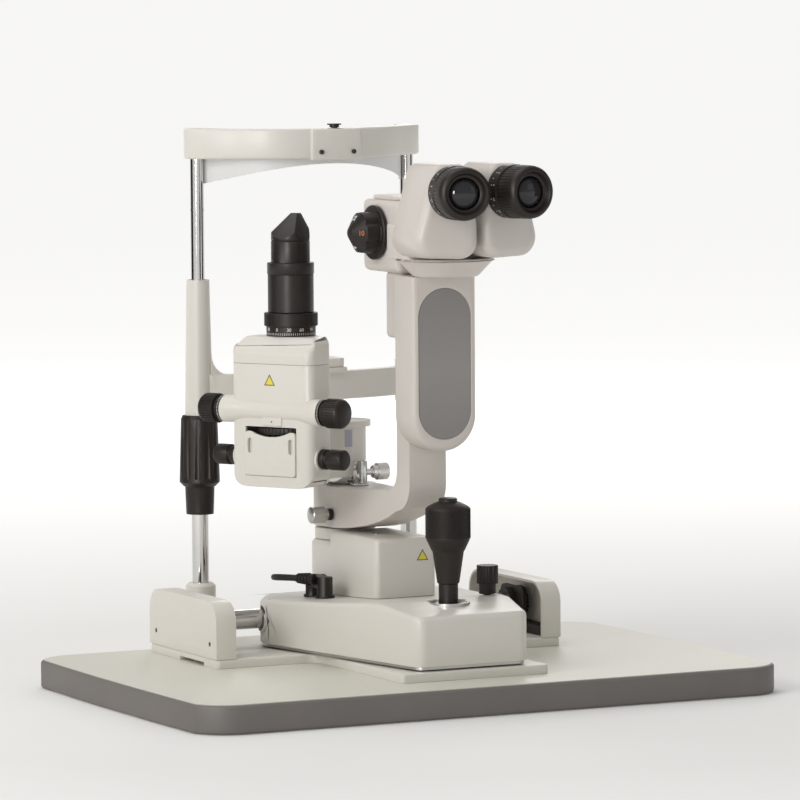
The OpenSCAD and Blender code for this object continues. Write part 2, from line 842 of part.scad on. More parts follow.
module eyepiece(s) {
    color(black) on_table() eye_frame(s) translate([0, 0, eye_z]) rotate([90, 0, 0]) rotate_extrude()
        polygon([[13.4, -2.8], [16.6, -2.8], [16.6, 0.4], [24.6, 0.4], [24.6, 14], [23.8, 15], [23.8, 36.6],
            [22.8, 38.2], [21, 39], [18.6, 38.2], [17.6, 35.5], [15, 32.8], [13.4, 32.8]]);
}

module left_eyepiece() {
    eyepiece(-1);
}

module right_eyepiece() {
    eyepiece(1);
}

module eye_lens(s) {
    color("#8fa3ad") on_table() eye_frame(s) translate([0, 0, eye_z]) rotate([90, 0, 0])
        cylinder(r = 13.4, h = 29);
}

module left_eye_lens() {
    eye_lens(-1);
}

module right_eye_lens() {
    eye_lens(1);
}

// ---- Lamp ----
// Local frame of the lamp: origin on its optical axis, -Y away from the pivot.
module lamp_frame() {
    translate([-lamp_reach * sin(lamp_angle), pivot_y - lamp_reach * cos(lamp_angle), 0])
        rotate(-lamp_angle) children();
}

module lamp_arm() {
    color(cream) on_table() difference() {
        union() {
            translate([0, pivot_y, 158.4]) cylinder(r = 19.6, h = 21);
            translate([0, pivot_y, 179.3]) cylinder(r = 20.4, h = 33);
            translate([0, pivot_y, 212.2]) cylinder(r = 25, h = 5.8);
            lamp_frame() round_slab([-17, 18], [17, 88], 3, 166, 184);
        }
        lamp_frame() translate([0, 0, 160]) cylinder(r = housing_r + 0.03, h = 30);
        translate([0, pivot_y, 150]) cylinder(r = 12.06, h = 57.5);
    }
}

module housing_plan(inset) {
    w = 46.3 - inset;
    r = 8.7 - inset;
    round_rect([-w, lamp_y + inset], [w, 1.5 - inset], r);
    circle(housing_r - inset);
}

module lamp_housing() {
    color(cream) on_table() lamp_frame() difference() {
        union() {
            intersection() {
                translate([0, 0, house_z0]) linear_extrude(lid_z - 0.3 - house_z0) housing_plan(0);
                rotate([90, 0, 0]) linear_extrude(160, center = true)
                    polygon(concat(
                        arc([-28, house_z0 + 18], 18, 180, 270, 8),
                        arc([30, house_z0 + 16], 16, 270, 360, 8),
                        [[46.5, 300], [-46.5, 300]]
                    ));
            }
            translate([0, cross_y, cross_z]) {
                cyl_x(9.4, -cross_end, cross_end);
                for (s = [0, 180])
                    rotate([0, 0, s]) translate([cross_end - 24, 0, 0]) rotate([0, 90, 0]) {
                        cylinder(r1 = 9.4, r2 = 12.8, h = 17);
                        translate([0, 0, 16.9]) cylinder(r = 12.8, h = 7.1);
                    }
            }
            translate([0, low_y, low_z]) cyl_x(11.4, -low_end, low_end);
        }
        difference() {
            translate([0, 0, house_z0 + 3]) linear_extrude(lid_z - house_z0) housing_plan(3);
            translate([-60, lamp_y - 10, house_z0]) cube([120, 40, 6]);
        }
        translate([0, cross_y, cross_z]) cyl_x(3.06, -60, 60);
        translate([0, low_y, low_z]) cyl_x(3.06, -60, 60);
        translate([-29, lamp_y - 5, 210.5]) cube([58, 14, 9.5]);
        translate([0, 0, 211.8]) cylinder(r = 34.2, h = 7.2);
        translate([-28.9, lamp_y - 1, 173.5]) cube([57.8, 2.6, 42.5]);
    }
}

module lamp_lid() {
    color(cream) on_table() lamp_frame() difference() {
        intersection() {
            translate([0, 0, lid_z]) linear_extrude(house_z1 - lid_z) housing_plan(0);
            side_profile(-60, 60)
                polygon([[-50, 270], [-50, 285], [lamp_y, 290], [-22, 304.5], [40, 304.5], [40, 270]]);
            rotate([90, 0, 0]) linear_extrude(160, center = true)
                polygon([[-47, 270], [-47, 292], [-36, 305], [40, 305], [47, 298], [47, 270]]);
        }
        translate([0, 0, lid_z - 1]) linear_extrude(9) housing_plan(3);
        translate([0, 0, 270]) cylinder(r = 15, h = 60);
    }
}

module front_plate() {
    color(cream) on_table() lamp_frame() difference() {
        translate([0, lamp_y + 1.5, 0]) rotate([90, 0, 0]) linear_extrude(3.3)
            round_rect([-28.4, 174], [28.4, 215.5], 3);
        translate([0, lamp_y - 3, 262.5]) rotate([90, 0, 0]) translate([0, 0, -6])
            cylinder(r = 52, h = 12, $fn = 96);
        mirror_pair() translate([23.2, lamp_y, 0]) rotate([90, 0, 0]) translate([0, 0, -4]) linear_extrude(8)
            round_rect([-2.3, 195], [2.3, 209], 2.2);
    }
}

module filter_wheel() {
    color(black) on_table() lamp_frame() difference() {
        translate([0, 0, 212.3]) cylinder(r = 33.6, h = 6.2);
        translate([0, 0, 200]) cylinder(r = 8, h = 30);
        for (i = [0:5])
            rotate(i * 60) translate([20, 0, 200]) cylinder(r = 7, h = 30);
        for (i = [0:47])
            rotate(i * 7.5) translate([34.2, 0, 210]) cylinder(r = 1.1, h = 12);
    }
}

module slit_ring() {
    color(black) on_table() lamp_frame() difference() {
        union() {
            translate([0, 0, 304.4]) cylinder(r = 23.2, h = 9);
            translate([0, 0, 313.3]) cylinder(r = 25.3, h = 12.5);
        }
        translate([0, 0, 300]) cylinder(r = 15.4, h = 40);
        for (i = [0:59])
            rotate(i * 6) translate([25.9, 0, 314.4]) cylinder(r = 0.9, h = 10.6);
    }
}

module lamp_barrel() {
    color(black) on_table() lamp_frame() difference() {
        union() {
            translate([0, 0, 284]) cylinder(r = 14.9, h = 44);
            translate([0, 0, 326.2]) cylinder(r = 21.6, h = 36);
            translate([0, 0, 362.1]) cylinder(r = 22, h = 11);
            translate([0, 0, 373]) cylinder(r = 18.3, h = 21);
        }
        translate([0, 0, 280]) cylinder(r = 11, h = 130);
    }
}

// Angled head that turns the beam towards the pivot.
module prism_head() {
    color(black) on_table() lamp_frame() translate([0, 0, 394]) difference() {
        intersection() {
            cylinder(r = 18.2, h = 25);
            side_profile(-20, 20)
                polygon([[-18.5, 0], [-18.5, 3], [-6, 11], [1, 25], [15.5, 25], [15.5, 12], [18.5, 4], [18.5, 0]]);
            rotate([90, 0, 0]) linear_extrude(60, center = true)
                polygon([[-18.5, 0], [-18.5, 2], [-9, 10], [-7.5, 25], [7.5, 25], [9, 10], [18.5, 2], [18.5, 0]]);
        }
        translate([0, 0, 15]) cyl_y(4.5, 6, 20);
    }
}

// Knob on the lamp's cross tube: starts at x = 0 and runs along +X.
module slit_knob() {
    cyl_x(12.6, 0.4, 3.4);
    cyl_x(11.4, 3.3, 7.5);
    difference() {
        union() {
            cyl_x(14, 7.4, 22);
            translate([21.9, 0, 0]) rotate([0, 90, 0]) cylinder(r1 = 14, r2 = 11, h = 3.6);
        }
        for (i = [0:23])
            rotate([i * 15, 0, 0]) translate([8, 0, 14.6]) cyl_x(1.2, 0, 13);
    }
}

module slit_knobs() {
    color(black) on_table() lamp_frame() translate([0, cross_y, cross_z]) {
        cyl_x(3, -60, 60);
        translate([cross_end, 0, 0]) slit_knob();
        translate([-cross_end, 0, 0]) mirror([1, 0, 0]) slit_knob();
    }
}

module aperture_knob() {
    cyl_x(9.6, 0.4, 6);
    cyl_x(8.2, 5.9, 9);
    translate([8.9, 0, 0]) rotate([0, 90, 0]) intersection() {
        cylinder(r = 9.8, h = 17);
        cylinder(r1 = 24, r2 = 8, h = 17);
        rotate(11) cylinder(r = 10.2, h = 17, $fn = 9);
    }
}

module aperture_knobs() {
    color(black) on_table() lamp_frame() translate([0, low_y, low_z]) {
        cyl_x(3, -52, 52);
        translate([low_end, 0, 0]) aperture_knob();
        translate([-low_end, 0, 0]) mirror([1, 0, 0]) aperture_knob();
    }
}

table_board();
edge_band();
base_plate();
left_cover();
right_cover();
guide_racks();
head_poles();
pole_feet();
brow_beam();
brow_band();
stand_screws();
fixation_socket();
chin_rest();
chin_cup();
height_ring();
axle_bearings();
axle_shaft();
axle_wheels();
carriage_shell();
slide_plate();
column_box();
joystick_socket();
carriage_lock_knob();
lead_plug();
lead_boot();
lamp_lead();
lead_gland();
gimbal_ring();
joystick_stem();
joystick_grip();
joystick_button();
column_post();
column_shaft();
microscope_arm();
arm_bracket();
clamp_knob();
arm_lock_knob();
camera_pod();
pod_panel();
microscope_head();
head_cap();
objective_lens();
magnification_knob();
binocular_base();
left_prism_housing();
right_prism_housing();
left_eyepiece();
right_eyepiece();
left_eye_lens();
right_eye_lens();
lamp_arm();
lamp_housing();
lamp_lid();
front_plate();
slit_ring();
lamp_barrel();
prism_head();
slit_knobs();
aperture_knobs();
filter_wheel();
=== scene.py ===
import math

import bpy
from mathutils import Matrix, Vector


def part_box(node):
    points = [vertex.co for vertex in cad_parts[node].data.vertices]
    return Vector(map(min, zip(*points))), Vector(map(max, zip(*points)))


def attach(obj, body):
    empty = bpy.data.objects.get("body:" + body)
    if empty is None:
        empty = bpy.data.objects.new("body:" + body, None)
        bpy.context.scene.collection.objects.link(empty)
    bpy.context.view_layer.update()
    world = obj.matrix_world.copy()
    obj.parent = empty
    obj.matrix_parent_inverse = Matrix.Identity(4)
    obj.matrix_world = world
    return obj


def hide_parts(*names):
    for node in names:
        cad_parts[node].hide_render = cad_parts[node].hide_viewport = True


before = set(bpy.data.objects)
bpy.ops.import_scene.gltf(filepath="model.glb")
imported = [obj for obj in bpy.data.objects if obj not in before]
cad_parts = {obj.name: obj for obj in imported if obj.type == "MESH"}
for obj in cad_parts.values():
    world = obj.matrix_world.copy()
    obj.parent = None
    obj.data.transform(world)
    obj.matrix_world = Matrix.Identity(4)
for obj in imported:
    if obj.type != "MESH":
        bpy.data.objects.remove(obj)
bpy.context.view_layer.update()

millimetre = 0.001
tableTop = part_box("table_board")[1].z  # everything on the instrument is measured from here
print("frame loaded")


# camera, floor and light

cameraSetup = {
    "lens": 247.6,
    "sensor": 36.0,
    "azimuth": 26.3345,
    "pitch": 4.6486,
    "roll": -0.38352,
    "target": (-0.003919, 0.0, 0.27278),
    "distance": 5.13993,
}


def placeCamera(setup):
    azimuth, pitch, roll = (math.radians(setup[k]) for k in ("azimuth", "pitch", "roll"))
    level = math.cos(pitch)
    back = Vector((-math.sin(azimuth) * level, -math.cos(azimuth) * level, math.sin(pitch)))
    right = Vector((math.cos(azimuth), -math.sin(azimuth), 0))
    up = back.cross(right)
    side = math.cos(roll) * right + math.sin(roll) * up
    top = -math.sin(roll) * right + math.cos(roll) * up
    data = bpy.data.cameras.new("studioCamera")
    data.lens = setup["lens"]
    data.sensor_width = setup["sensor"]
    data.clip_start, data.clip_end = 0.1, 500
    camera = bpy.data.objects.new("studioCamera", data)
    bpy.context.scene.collection.objects.link(camera)
    turned = Matrix((side, top, back)).transposed().to_4x4()
    camera.matrix_world = Matrix.Translation(Vector(setup["target"]) + back * setup["distance"]) @ turned
    bpy.context.scene.camera = camera


placeCamera(cameraSetup)
print("camera placed")


# lamp lead

leadRoute = [  # from the plug's boot to the gland on the column housing, in metres above the table top
    (-0.074, 0.080, 0.0745), (-0.0762, 0.0842, 0.0745), (-0.0784, 0.089, 0.0744),
    (-0.0806, 0.0944, 0.0742), (-0.0822, 0.100, 0.0739), (-0.0828, 0.106, 0.0734),
    (-0.0822, 0.112, 0.0728), (-0.0804, 0.1176, 0.0721), (-0.0774, 0.1228, 0.0713),
    (-0.0734, 0.1272, 0.0705), (-0.0686, 0.1304, 0.0698), (-0.0632, 0.1322, 0.0692),
    (-0.0576, 0.1324, 0.0687), (-0.0522, 0.131, 0.0683), (-0.0472, 0.128, 0.0681),
    (-0.0426, 0.1238, 0.068), (-0.0385, 0.1185, 0.068),
]
lead = {"diameter": 0.006, "steps": 4}


def smoothRoute(points, steps):  # a curve through every point, with some steps between two of them
    last = len(points) - 1
    line = []
    for index in range(last):
        before, here, after, beyond = (Vector(points[min(max(index + k, 0), last)]) for k in (-1, 0, 1, 2))
        for step in range(steps):
            t = step / steps
            line.append(0.5 * (2 * here + (after - before) * t
                               + (2 * before - 5 * here + 4 * after - beyond) * t * t
                               + (3 * here - before - 3 * after + beyond) * t * t * t))
    return line + [Vector(points[-1])]


def makeTube(name, line, diameter):
    curve = bpy.data.curves.new(name, "CURVE")
    curve.dimensions = "3D"
    curve.bevel_depth, curve.bevel_resolution, curve.use_fill_caps = diameter / 2, 5, True
    spline = curve.splines.new("POLY")
    spline.points.add(len(line) - 1)
    for point, place in zip(spline.points, line):
        point.co = (*place, 1)
    tube = bpy.data.objects.new(name, curve)
    bpy.context.scene.collection.objects.link(tube)
    bpy.ops.object.select_all(action="DESELECT")
    tube.select_set(True)
    bpy.context.view_layer.objects.active = tube
    bpy.ops.object.convert(target="MESH")
    bpy.ops.object.shade_smooth_by_angle(angle=math.radians(40))
    return bpy.context.active_object


leadLine = [point + Vector((0, 0, tableTop)) for point in smoothRoute(leadRoute, lead["steps"])]
leadLength = sum((b - a).length for a, b in zip(leadLine, leadLine[1:]))
leadTube = makeTube("lampLead", leadLine, lead["diameter"])
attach(leadTube, "carriage")
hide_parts("lamp_lead")
print("lead laid, %.3f m" % leadLength)


studioSetup = {
    "floorSize": 700.0,
    "floorColour": (0.90, 0.90, 0.89, 1),
    "worldColour": (1.0, 0.99, 0.975, 1),
    "worldStrength": 0.42,
    "lamps": (  # name, place, aim, size, watts, colour
        ("keySoftbox", (-3.4, -0.9, 1.9), (0, 0, 0.25), 1.9, 54, (1.0, 0.975, 0.95)),
        ("fillSoftbox", (2.6, -3.2, 1.5), (0, 0, 0.25), 1.6, 3, (1.0, 0.98, 0.96)),
        ("topSoftbox", (-0.5, 0.6, 3.2), (0, 0, 0.2), 2.4, 32, (1.0, 0.99, 0.98)),
        ("glossStrip", (-2.2, -2.0, 0.75), (0, 0, 0.45), 0.7, 40, (1.0, 0.99, 0.97)),
        ("rimSoftbox", (1.9, 2.8, 1.8), (0, 0, 0.3), 1.4, 18, (1.0, 0.98, 0.95)),
    ),
    "darkFlags": (  # name, place, size, turn about Z in degrees: the bright metal mirrors them
        ("leftFlag", (-1.8, 1.25, 0.9), (1.7, 2.6), 55),
        ("rightFlag", (2.07, -0.75, 0.9), (1.3, 2.6), 70),
    ),
}


def addStudio(setup):
    bpy.ops.mesh.primitive_plane_add(size=setup["floorSize"])
    floor = bpy.context.active_object
    floor.name = "studioFloor"
    for name, place, aim, size, watts, colour in setup["lamps"]:
        data = bpy.data.lights.new(name, "AREA")
        data.shape = "SQUARE"
        data.size, data.energy, data.color = size, watts, colour
        lamp = bpy.data.objects.new(name, data)
        bpy.context.scene.collection.objects.link(lamp)
        lamp.location = place
        lamp.rotation_euler = (Vector(aim) - Vector(place)).to_track_quat("-Z", "Y").to_euler()
        lamp.visible_diffuse = name != "glossStrip"
    for name, place, size, turn in setup["darkFlags"]:
        upright = (math.radians(90), 0, math.radians(turn))
        bpy.ops.mesh.primitive_plane_add(size=1, location=place, rotation=upright)
        flag = bpy.context.active_object
        flag.name = name
        flag.scale = (size[0], size[1], 1)
        flag.visible_camera = False
        flag.visible_diffuse = False
        flag.visible_shadow = False
    world = bpy.data.worlds.new("studioWorld")
    bpy.context.scene.world = world
    world.use_nodes = True
    sky = world.node_tree.nodes["Background"]
    sky.inputs["Color"].default_value = setup["worldColour"]
    sky.inputs["Strength"].default_value = setup["worldStrength"]
    bpy.context.scene.view_settings.view_transform = "Standard"
    return floor


floor = addStudio(studioSetup)
print("studio lit")


# finishes


class Flow:  # a number that runs between shader nodes, so that sums on it read as Python
    def __init__(self, finish, socket):
        self.finish, self.socket = finish, socket

    def sum(self, operation, first, second):
        return self.finish.add("ShaderNodeMath", {"operation": operation}, {0: first, 1: second})

    def __add__(self, other):
        return self.sum("ADD", self, other)

    def __radd__(self, other):
        return self.sum("ADD", other, self)

    def __sub__(self, other):
        return self.sum("SUBTRACT", self, other)

    def __rsub__(self, other):
        return self.sum("SUBTRACT", other, self)

    def __mul__(self, other):
        return self.sum("MULTIPLY", self, other)

    def __rmul__(self, other):
        return self.sum("MULTIPLY", other, self)

    def __truediv__(self, other):
        return self.sum("DIVIDE", self, other)

    def __pow__(self, other):
        return self.sum("POWER", self, other)

    def __gt__(self, other):
        return self.sum("GREATER_THAN", self, other)

    def __lt__(self, other):
        return self.sum("LESS_THAN", self, other)


class Finish:  # one material and the nodes that make it
    def __init__(self, name):
        self.material = bpy.data.materials.new(name)
        self.material.use_nodes = True
        self.tree = self.material.node_tree
        self.tree.nodes.clear()
        self.point = self.add("ShaderNodeTexCoord", out="Object")

    def add(self, kind, settings=None, inputs=None, out=0):
        node = self.tree.nodes.new(kind)
        for key, value in (settings or {}).items():
            if key == "stops":
                for index, (place, colour) in enumerate(value):
                    if index > 1:
                        node.color_ramp.elements.new(place)
                    node.color_ramp.elements[index].position = place
                    node.color_ramp.elements[index].color = colour
            else:
                setattr(node, key, value)
        for key, value in (inputs or {}).items():
            if isinstance(value, Flow):
                self.tree.links.new(value.socket, node.inputs[key])
            else:
                node.inputs[key].default_value = value
        return Flow(self, node.outputs[out])

    def noise(self, scale, detail=2.0, roughness=0.5, place=None):
        return self.add("ShaderNodeTexNoise", {}, {
            "Vector": place or self.point, "Scale": scale, "Detail": detail, "Roughness": roughness})

    def axes(self, place=None):
        return [self.add("ShaderNodeSeparateXYZ", {}, {0: place or self.point}, out=i) for i in range(3)]

    def blend(self, mask, first, second):
        return self.add("ShaderNodeMix", {"data_type": "RGBA"}, {0: mask, 6: first, 7: second}, out=2)

    def bump(self, height, distance, strength=1.0):
        return self.add("ShaderNodeBump", {}, {"Height": height, "Distance": distance, "Strength": strength})

    def surface(self, **sockets):
        named = {key[0].upper() + key[1:]: value for key, value in sockets.items()}
        words = {"BaseColor": "Base Color", "CoatWeight": "Coat Weight", "EmissionColor": "Emission Color",
                 "EmissionStrength": "Emission Strength", "SpecularLevel": "Specular IOR Level"}
        shader = self.add("ShaderNodeBsdfPrincipled", {}, {words.get(k, k): v for k, v in named.items()})
        end = self.tree.nodes.new("ShaderNodeOutputMaterial")
        self.tree.links.new(shader.socket, end.inputs["Surface"])
        return self.material


def rgb(red, green, blue):
    return (red, green, blue, 1.0)


def makePaint(name, light, dark, roughness=0.36):
    finish = Finish(name)
    tone = finish.noise(14, 3)
    peel = finish.noise(1500, 2, 0.6)
    grain = finish.noise(5200, 1)
    colour = finish.blend(tone, light, dark)
    return finish.surface(
        baseColor=colour,
        roughness=finish.noise(90, 2) * 0.10 + (roughness - 0.05),
        normal=finish.bump(peel * 0.7 + grain * 0.3, 0.00006, 0.35),
        specularLevel=0.45,
    )


def makeBlackPlastic(name, light, dark, roughness, grainScale=2600, depth=0.00005):
    finish = Finish(name)
    grain = finish.noise(grainScale, 3, 0.6)
    worn = finish.noise(45, 4, 0.6)
    return finish.surface(
        baseColor=finish.blend(worn, dark, light),
        roughness=finish.noise(160, 2) * 0.14 + (roughness - 0.07),
        normal=finish.bump(grain, depth, 0.6),
        specularLevel=0.32,
    )


def makeMetal(name, colour, roughness, scratch=(60, 60, 4000), depth=0.00001, darker=0.82):
    finish = Finish(name)
    stretched = finish.add("ShaderNodeMapping", {}, {"Vector": finish.point, "Scale": scratch})
    lines = finish.noise(1.0, 3, 0.6, stretched)
    dull = finish.noise(35, 3)
    return finish.surface(
        baseColor=finish.blend(dull, colour, rgb(*(c * darker for c in colour[:3]))),
        metallic=1.0,
        roughness=lines * 0.10 + dull * 0.05 + (roughness - 0.07),
        normal=finish.bump(lines, depth, 0.4),
    )


def makeLaminate(name):
    finish = Finish(name)
    speckle = finish.noise(1100, 2, 0.7)
    cloud = finish.noise(6, 3)
    fleck = finish.add("ShaderNodeTexVoronoi", {}, {"Vector": finish.point, "Scale": 420.0}, out="Distance")
    ground = finish.blend(cloud, rgb(0.70, 0.69, 0.61), rgb(0.67, 0.665, 0.59))
    colour = finish.blend((fleck < 0.14) * speckle * 0.25, ground, rgb(0.60, 0.58, 0.50))
    return finish.surface(
        baseColor=colour,
        roughness=finish.noise(240, 2) * 0.12 + 0.33,
        normal=finish.bump(speckle, 0.00004, 0.35),
        specularLevel=0.4,
    )


def makeEdgeRubber(name):
    finish = Finish(name)
    pebble = finish.noise(1900, 3, 0.65)
    cloud = finish.noise(18, 3)
    return finish.surface(
        baseColor=finish.blend(cloud, rgb(0.195, 0.178, 0.166), rgb(0.160, 0.146, 0.137)),
        roughness=pebble * 0.15 + 0.42,
        normal=finish.bump(pebble, 0.00012, 0.5),
        specularLevel=0.45,
    )


def makeGlass(name):
    finish = Finish(name)
    bloom = finish.noise(60, 2)
    return finish.surface(
        baseColor=finish.blend(bloom, rgb(0.018, 0.020, 0.024), rgb(0.030, 0.026, 0.030)),
        roughness=bloom * 0.04 + 0.02,
        specularLevel=0.4,
    )


def makePanel(name):
    finish = Finish(name)
    _, _, up = finish.axes()
    low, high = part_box("pod_panel")[0].z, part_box("pod_panel")[1].z
    # base colour follows height: a painted reflection, a lighter streak across the panel's middle height with
    # darker top and bottom
    rise = (up - low) / (high - low)
    stops = ((0.0, rgb(0.24, 0.228, 0.222)), (0.45, rgb(0.29, 0.275, 0.265)), (1.0, rgb(0.225, 0.213, 0.207)))
    colour = finish.add("ShaderNodeValToRGB", {"stops": stops}, {0: rise})
    return finish.surface(
        baseColor=colour,
        roughness=finish.noise(300, 2) * 0.1 + 0.32,
        normal=finish.bump(finish.noise(2400, 2), 0.00004, 0.4),
        metallic=0.15,
        coatWeight=0.2,
    )


looks = {
    "painted_cover": makePaint("creamPaint", rgb(0.735, 0.710, 0.655), rgb(0.705, 0.680, 0.625)),
    "warm_paint": makePaint("warmPaint", rgb(0.64, 0.60, 0.56), rgb(0.61, 0.57, 0.53), 0.38),
    "band_plastic": makePaint("bandPlastic", rgb(0.77, 0.775, 0.77), rgb(0.74, 0.745, 0.745), 0.42),
    "chrome_tube": makeMetal("polishedChrome", rgb(0.64, 0.63, 0.615), 0.09, (900, 900, 60)),
    "brushed_plate": makeMetal("brushedSteel", rgb(0.60, 0.59, 0.57), 0.30),
    "bright_knob": makeMetal("brightKnob", rgb(0.90, 0.895, 0.88), 0.28, (900, 900, 60)),
    "black_plastic": makeBlackPlastic(
        "blackPlastic", rgb(0.022, 0.016, 0.0125), rgb(0.014, 0.0105, 0.0085), 0.42),
    "black_steel": makeBlackPlastic(
        "blackSteel", rgb(0.05, 0.047, 0.045), rgb(0.03, 0.028, 0.027), 0.32, 3800),
    "anodised_black": makeBlackPlastic(
        "anodisedBlack", rgb(0.024, 0.018, 0.0145), rgb(0.015, 0.0115, 0.0095), 0.36, 4200, 0.00003),
    "grip_rubber": makeBlackPlastic(
        "gripRubber", rgb(0.024, 0.018, 0.014), rgb(0.015, 0.0115, 0.0095), 0.50, 1800, 0.00008),
    "lead_rubber": makeBlackPlastic(
        "leadRubber", rgb(0.026, 0.023, 0.022), rgb(0.018, 0.016, 0.016), 0.50, 2200, 0.00008),
    "table_laminate": makeLaminate("tableLaminate"),
    "edge_rubber": makeEdgeRubber("edgeRubber"),
    "grey_panel": makePanel("greyPanelPaintedReflection"),
    "lens_glass": makeGlass("lensGlass"),
}
floorLook = Finish("paleFloor")
eastWest, northSouth, _ = floorLook.axes()
farAway = floorLook.add("ShaderNodeMapRange", {"clamp": True}, {
    "Value": (eastWest * eastWest + northSouth * northSouth) ** 0.5, "From Min": 0.55, "From Max": 3.2})
floor.data.materials.append(floorLook.surface(
    baseColor=floorLook.blend(floorLook.noise(3, 2), studioSetup["floorColour"], rgb(0.88, 0.88, 0.87)),
    roughness=0.9,
    emissionColor=floorLook.blend(farAway, rgb(0, 0, 0), rgb(1, 1, 1)),
    emissionStrength=0.55,
))
flagLook = Finish("darkFlag").surface(baseColor=rgb(0.02, 0.02, 0.02), roughness=0.9)
for name, *_ in studioSetup["darkFlags"]:
    bpy.data.objects[name].data.materials.append(flagLook)
nodeSlot = {name: node.data.materials[0].name for name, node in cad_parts.items()}
for name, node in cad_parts.items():
    node.data.materials.clear()
    node.data.materials.append(looks[nodeSlot[name]])
leadTube.data.materials.append(looks["lead_rubber"])
print("finishes made")


# making pieces

tableZ = tableTop / millimetre


def inObjectMode():
    if bpy.context.object and bpy.context.object.mode != "OBJECT":
        bpy.ops.object.mode_set(mode="OBJECT")
    bpy.ops.object.select_all(action="DESELECT")


def makeActive(piece):
    inObjectMode()
    piece.select_set(True)
    bpy.context.view_layer.objects.active = piece
    return piece


def applyAll(piece):
    makeActive(piece)
    for modifier in list(piece.modifiers):
        bpy.ops.object.modifier_apply(modifier=modifier.name)
    return piece


def settle(piece, body, look, nodes=(), smooth=32):
    applyAll(piece)
    bpy.ops.object.transform_apply(location=True, rotation=True, scale=True)
    bpy.ops.object.shade_smooth_by_angle(angle=math.radians(smooth))
    if look:
        piece.data.materials.clear()
        piece.data.materials.append(look)
    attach(piece, body)
    if nodes:
        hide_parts(*nodes)
    inObjectMode()
    return piece


def mergedCopy(name, node):  # a CAD node's shape as a clean mesh of its own
    piece = bpy.data.objects.new(name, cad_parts[node].data.copy())
    bpy.context.scene.collection.objects.link(piece)
    makeActive(piece)
    if piece.data.has_custom_normals:
        bpy.ops.mesh.customdata_custom_splitnormals_clear()
    bpy.ops.object.mode_set(mode="EDIT")
    bpy.ops.mesh.select_all(action="SELECT")
    bpy.ops.mesh.remove_doubles(threshold=0.00002)
    bpy.ops.mesh.dissolve_limited(angle_limit=math.radians(0.6))
    bpy.ops.object.mode_set(mode="OBJECT")
    return piece


def joined(name, parts):
    inObjectMode()
    for part in parts:
        part.select_set(True)
    bpy.context.view_layer.objects.active = parts[0]
    bpy.ops.object.join()
    parts[0].name = name
    return parts[0]


def roundEdges(piece, widthAt, steps=4, sharper=38, clamp=True):
    mesh = piece.data
    sides = {}
    for face in mesh.polygons:
        for key in face.edge_keys:
            sides.setdefault(key, []).append(face.normal)
    widths = []
    for edge in mesh.edges:
        normals = sides.get(tuple(sorted(edge.vertices)), [])
        bent = len(normals) == 2 and normals[0].angle(normals[1], 0) > math.radians(sharper)
        middle = (mesh.vertices[edge.vertices[0]].co + mesh.vertices[edge.vertices[1]].co) / 2
        widths.append(widthAt(middle / millimetre, normals) if bent else 0)
    most = max(widths + [0.001])
    weights = mesh.attributes.get("bevel_weight_edge")
    weights = weights or mesh.attributes.new("bevel_weight_edge", "FLOAT", "EDGE")
    weights.data.foreach_set("value", [width / most for width in widths])
    bevel = piece.modifiers.new("rounding", "BEVEL")
    bevel.limit_method = "WEIGHT"
    bevel.width = most * millimetre
    bevel.segments = steps
    bevel.use_clamp_overlap = clamp
    bevel.miter_outer = "MITER_SHARP"
    applyAll(piece)
    return piece


def outerEdges(big, small, holes=()):
    # underside, inside and hole edges stay crisp, the rest are well rounded; holes are (x, y, reach)
    def width(middle, normals):
        if min(normal.z for normal in normals) < -0.6:
            return small
        if any(math.hypot(middle.x - x, middle.y - y) < reach for x, y, reach in holes):
            return small
        return big
    return width


def podEdges(middle, normals):  # the pod's front rim is well rounded, its panel recess is crisp
    rise = middle.z - min(max(middle.z, tableZ + 237), tableZ + 360)
    return 5.2 if math.hypot(middle.x, rise) > 30.5 and middle.y < -80 else 0.6


shellRounding = {  # piece: (node, edge radius in millimetres or a rule, body)
    "baseTee": ("base_plate", outerEdges(1.8, 0.5), "stand"),
    "poleFeet": ("pole_feet", 1.4, "stand"),
    "chinRest": ("chin_rest", 2.2, "chin"),
    "chinCup": ("chin_cup", 1.6, "chin"),
    "carriageCover": ("carriage_shell", outerEdges(5.0, 0.5, (
        (0, -90, 22), (57, -58, 6), (-56.5, 56, 5), (-56.5, 84, 5), (0, 128, 27))), "carriage"),
    "columnHousing": ("column_box", outerEdges(5.0, 0.4, ((0, 128, 26),)), "carriage"),
    "columnPost": ("column_post", 1.6, "column"),
    "microscopeArm": ("microscope_arm", outerEdges(7.0, 2.0, ((0, 128, 14),)), "microscope"),
    "cameraPod": ("camera_pod", podEdges, "microscope"),
    "headCap": ("head_cap", 1.6, "microscope"),
    "binocularBase": ("binocular_base", 1.8, "microscope"),
    "lampHousing": ("lamp_housing", 3.0, "lamp"),
    "lampLid": ("lamp_lid", outerEdges(3.6, 0.3), "lamp"),
    "frontPlate": ("front_plate", 1.2, "lamp"),
}
freeRounding = ("cameraPod", "carriageCover", "columnHousing", "lampLid", "binocularBase")
for pieceName, (node, radius, body) in shellRounding.items():
    shell = mergedCopy(pieceName, node)
    rule = radius if callable(radius) else lambda middle, normals: radius
    roundEdges(shell, rule, clamp=pieceName not in freeRounding)
    paint = looks["warm_paint" if body == "microscope" else "painted_cover"]
    settle(shell, body, paint, [node])


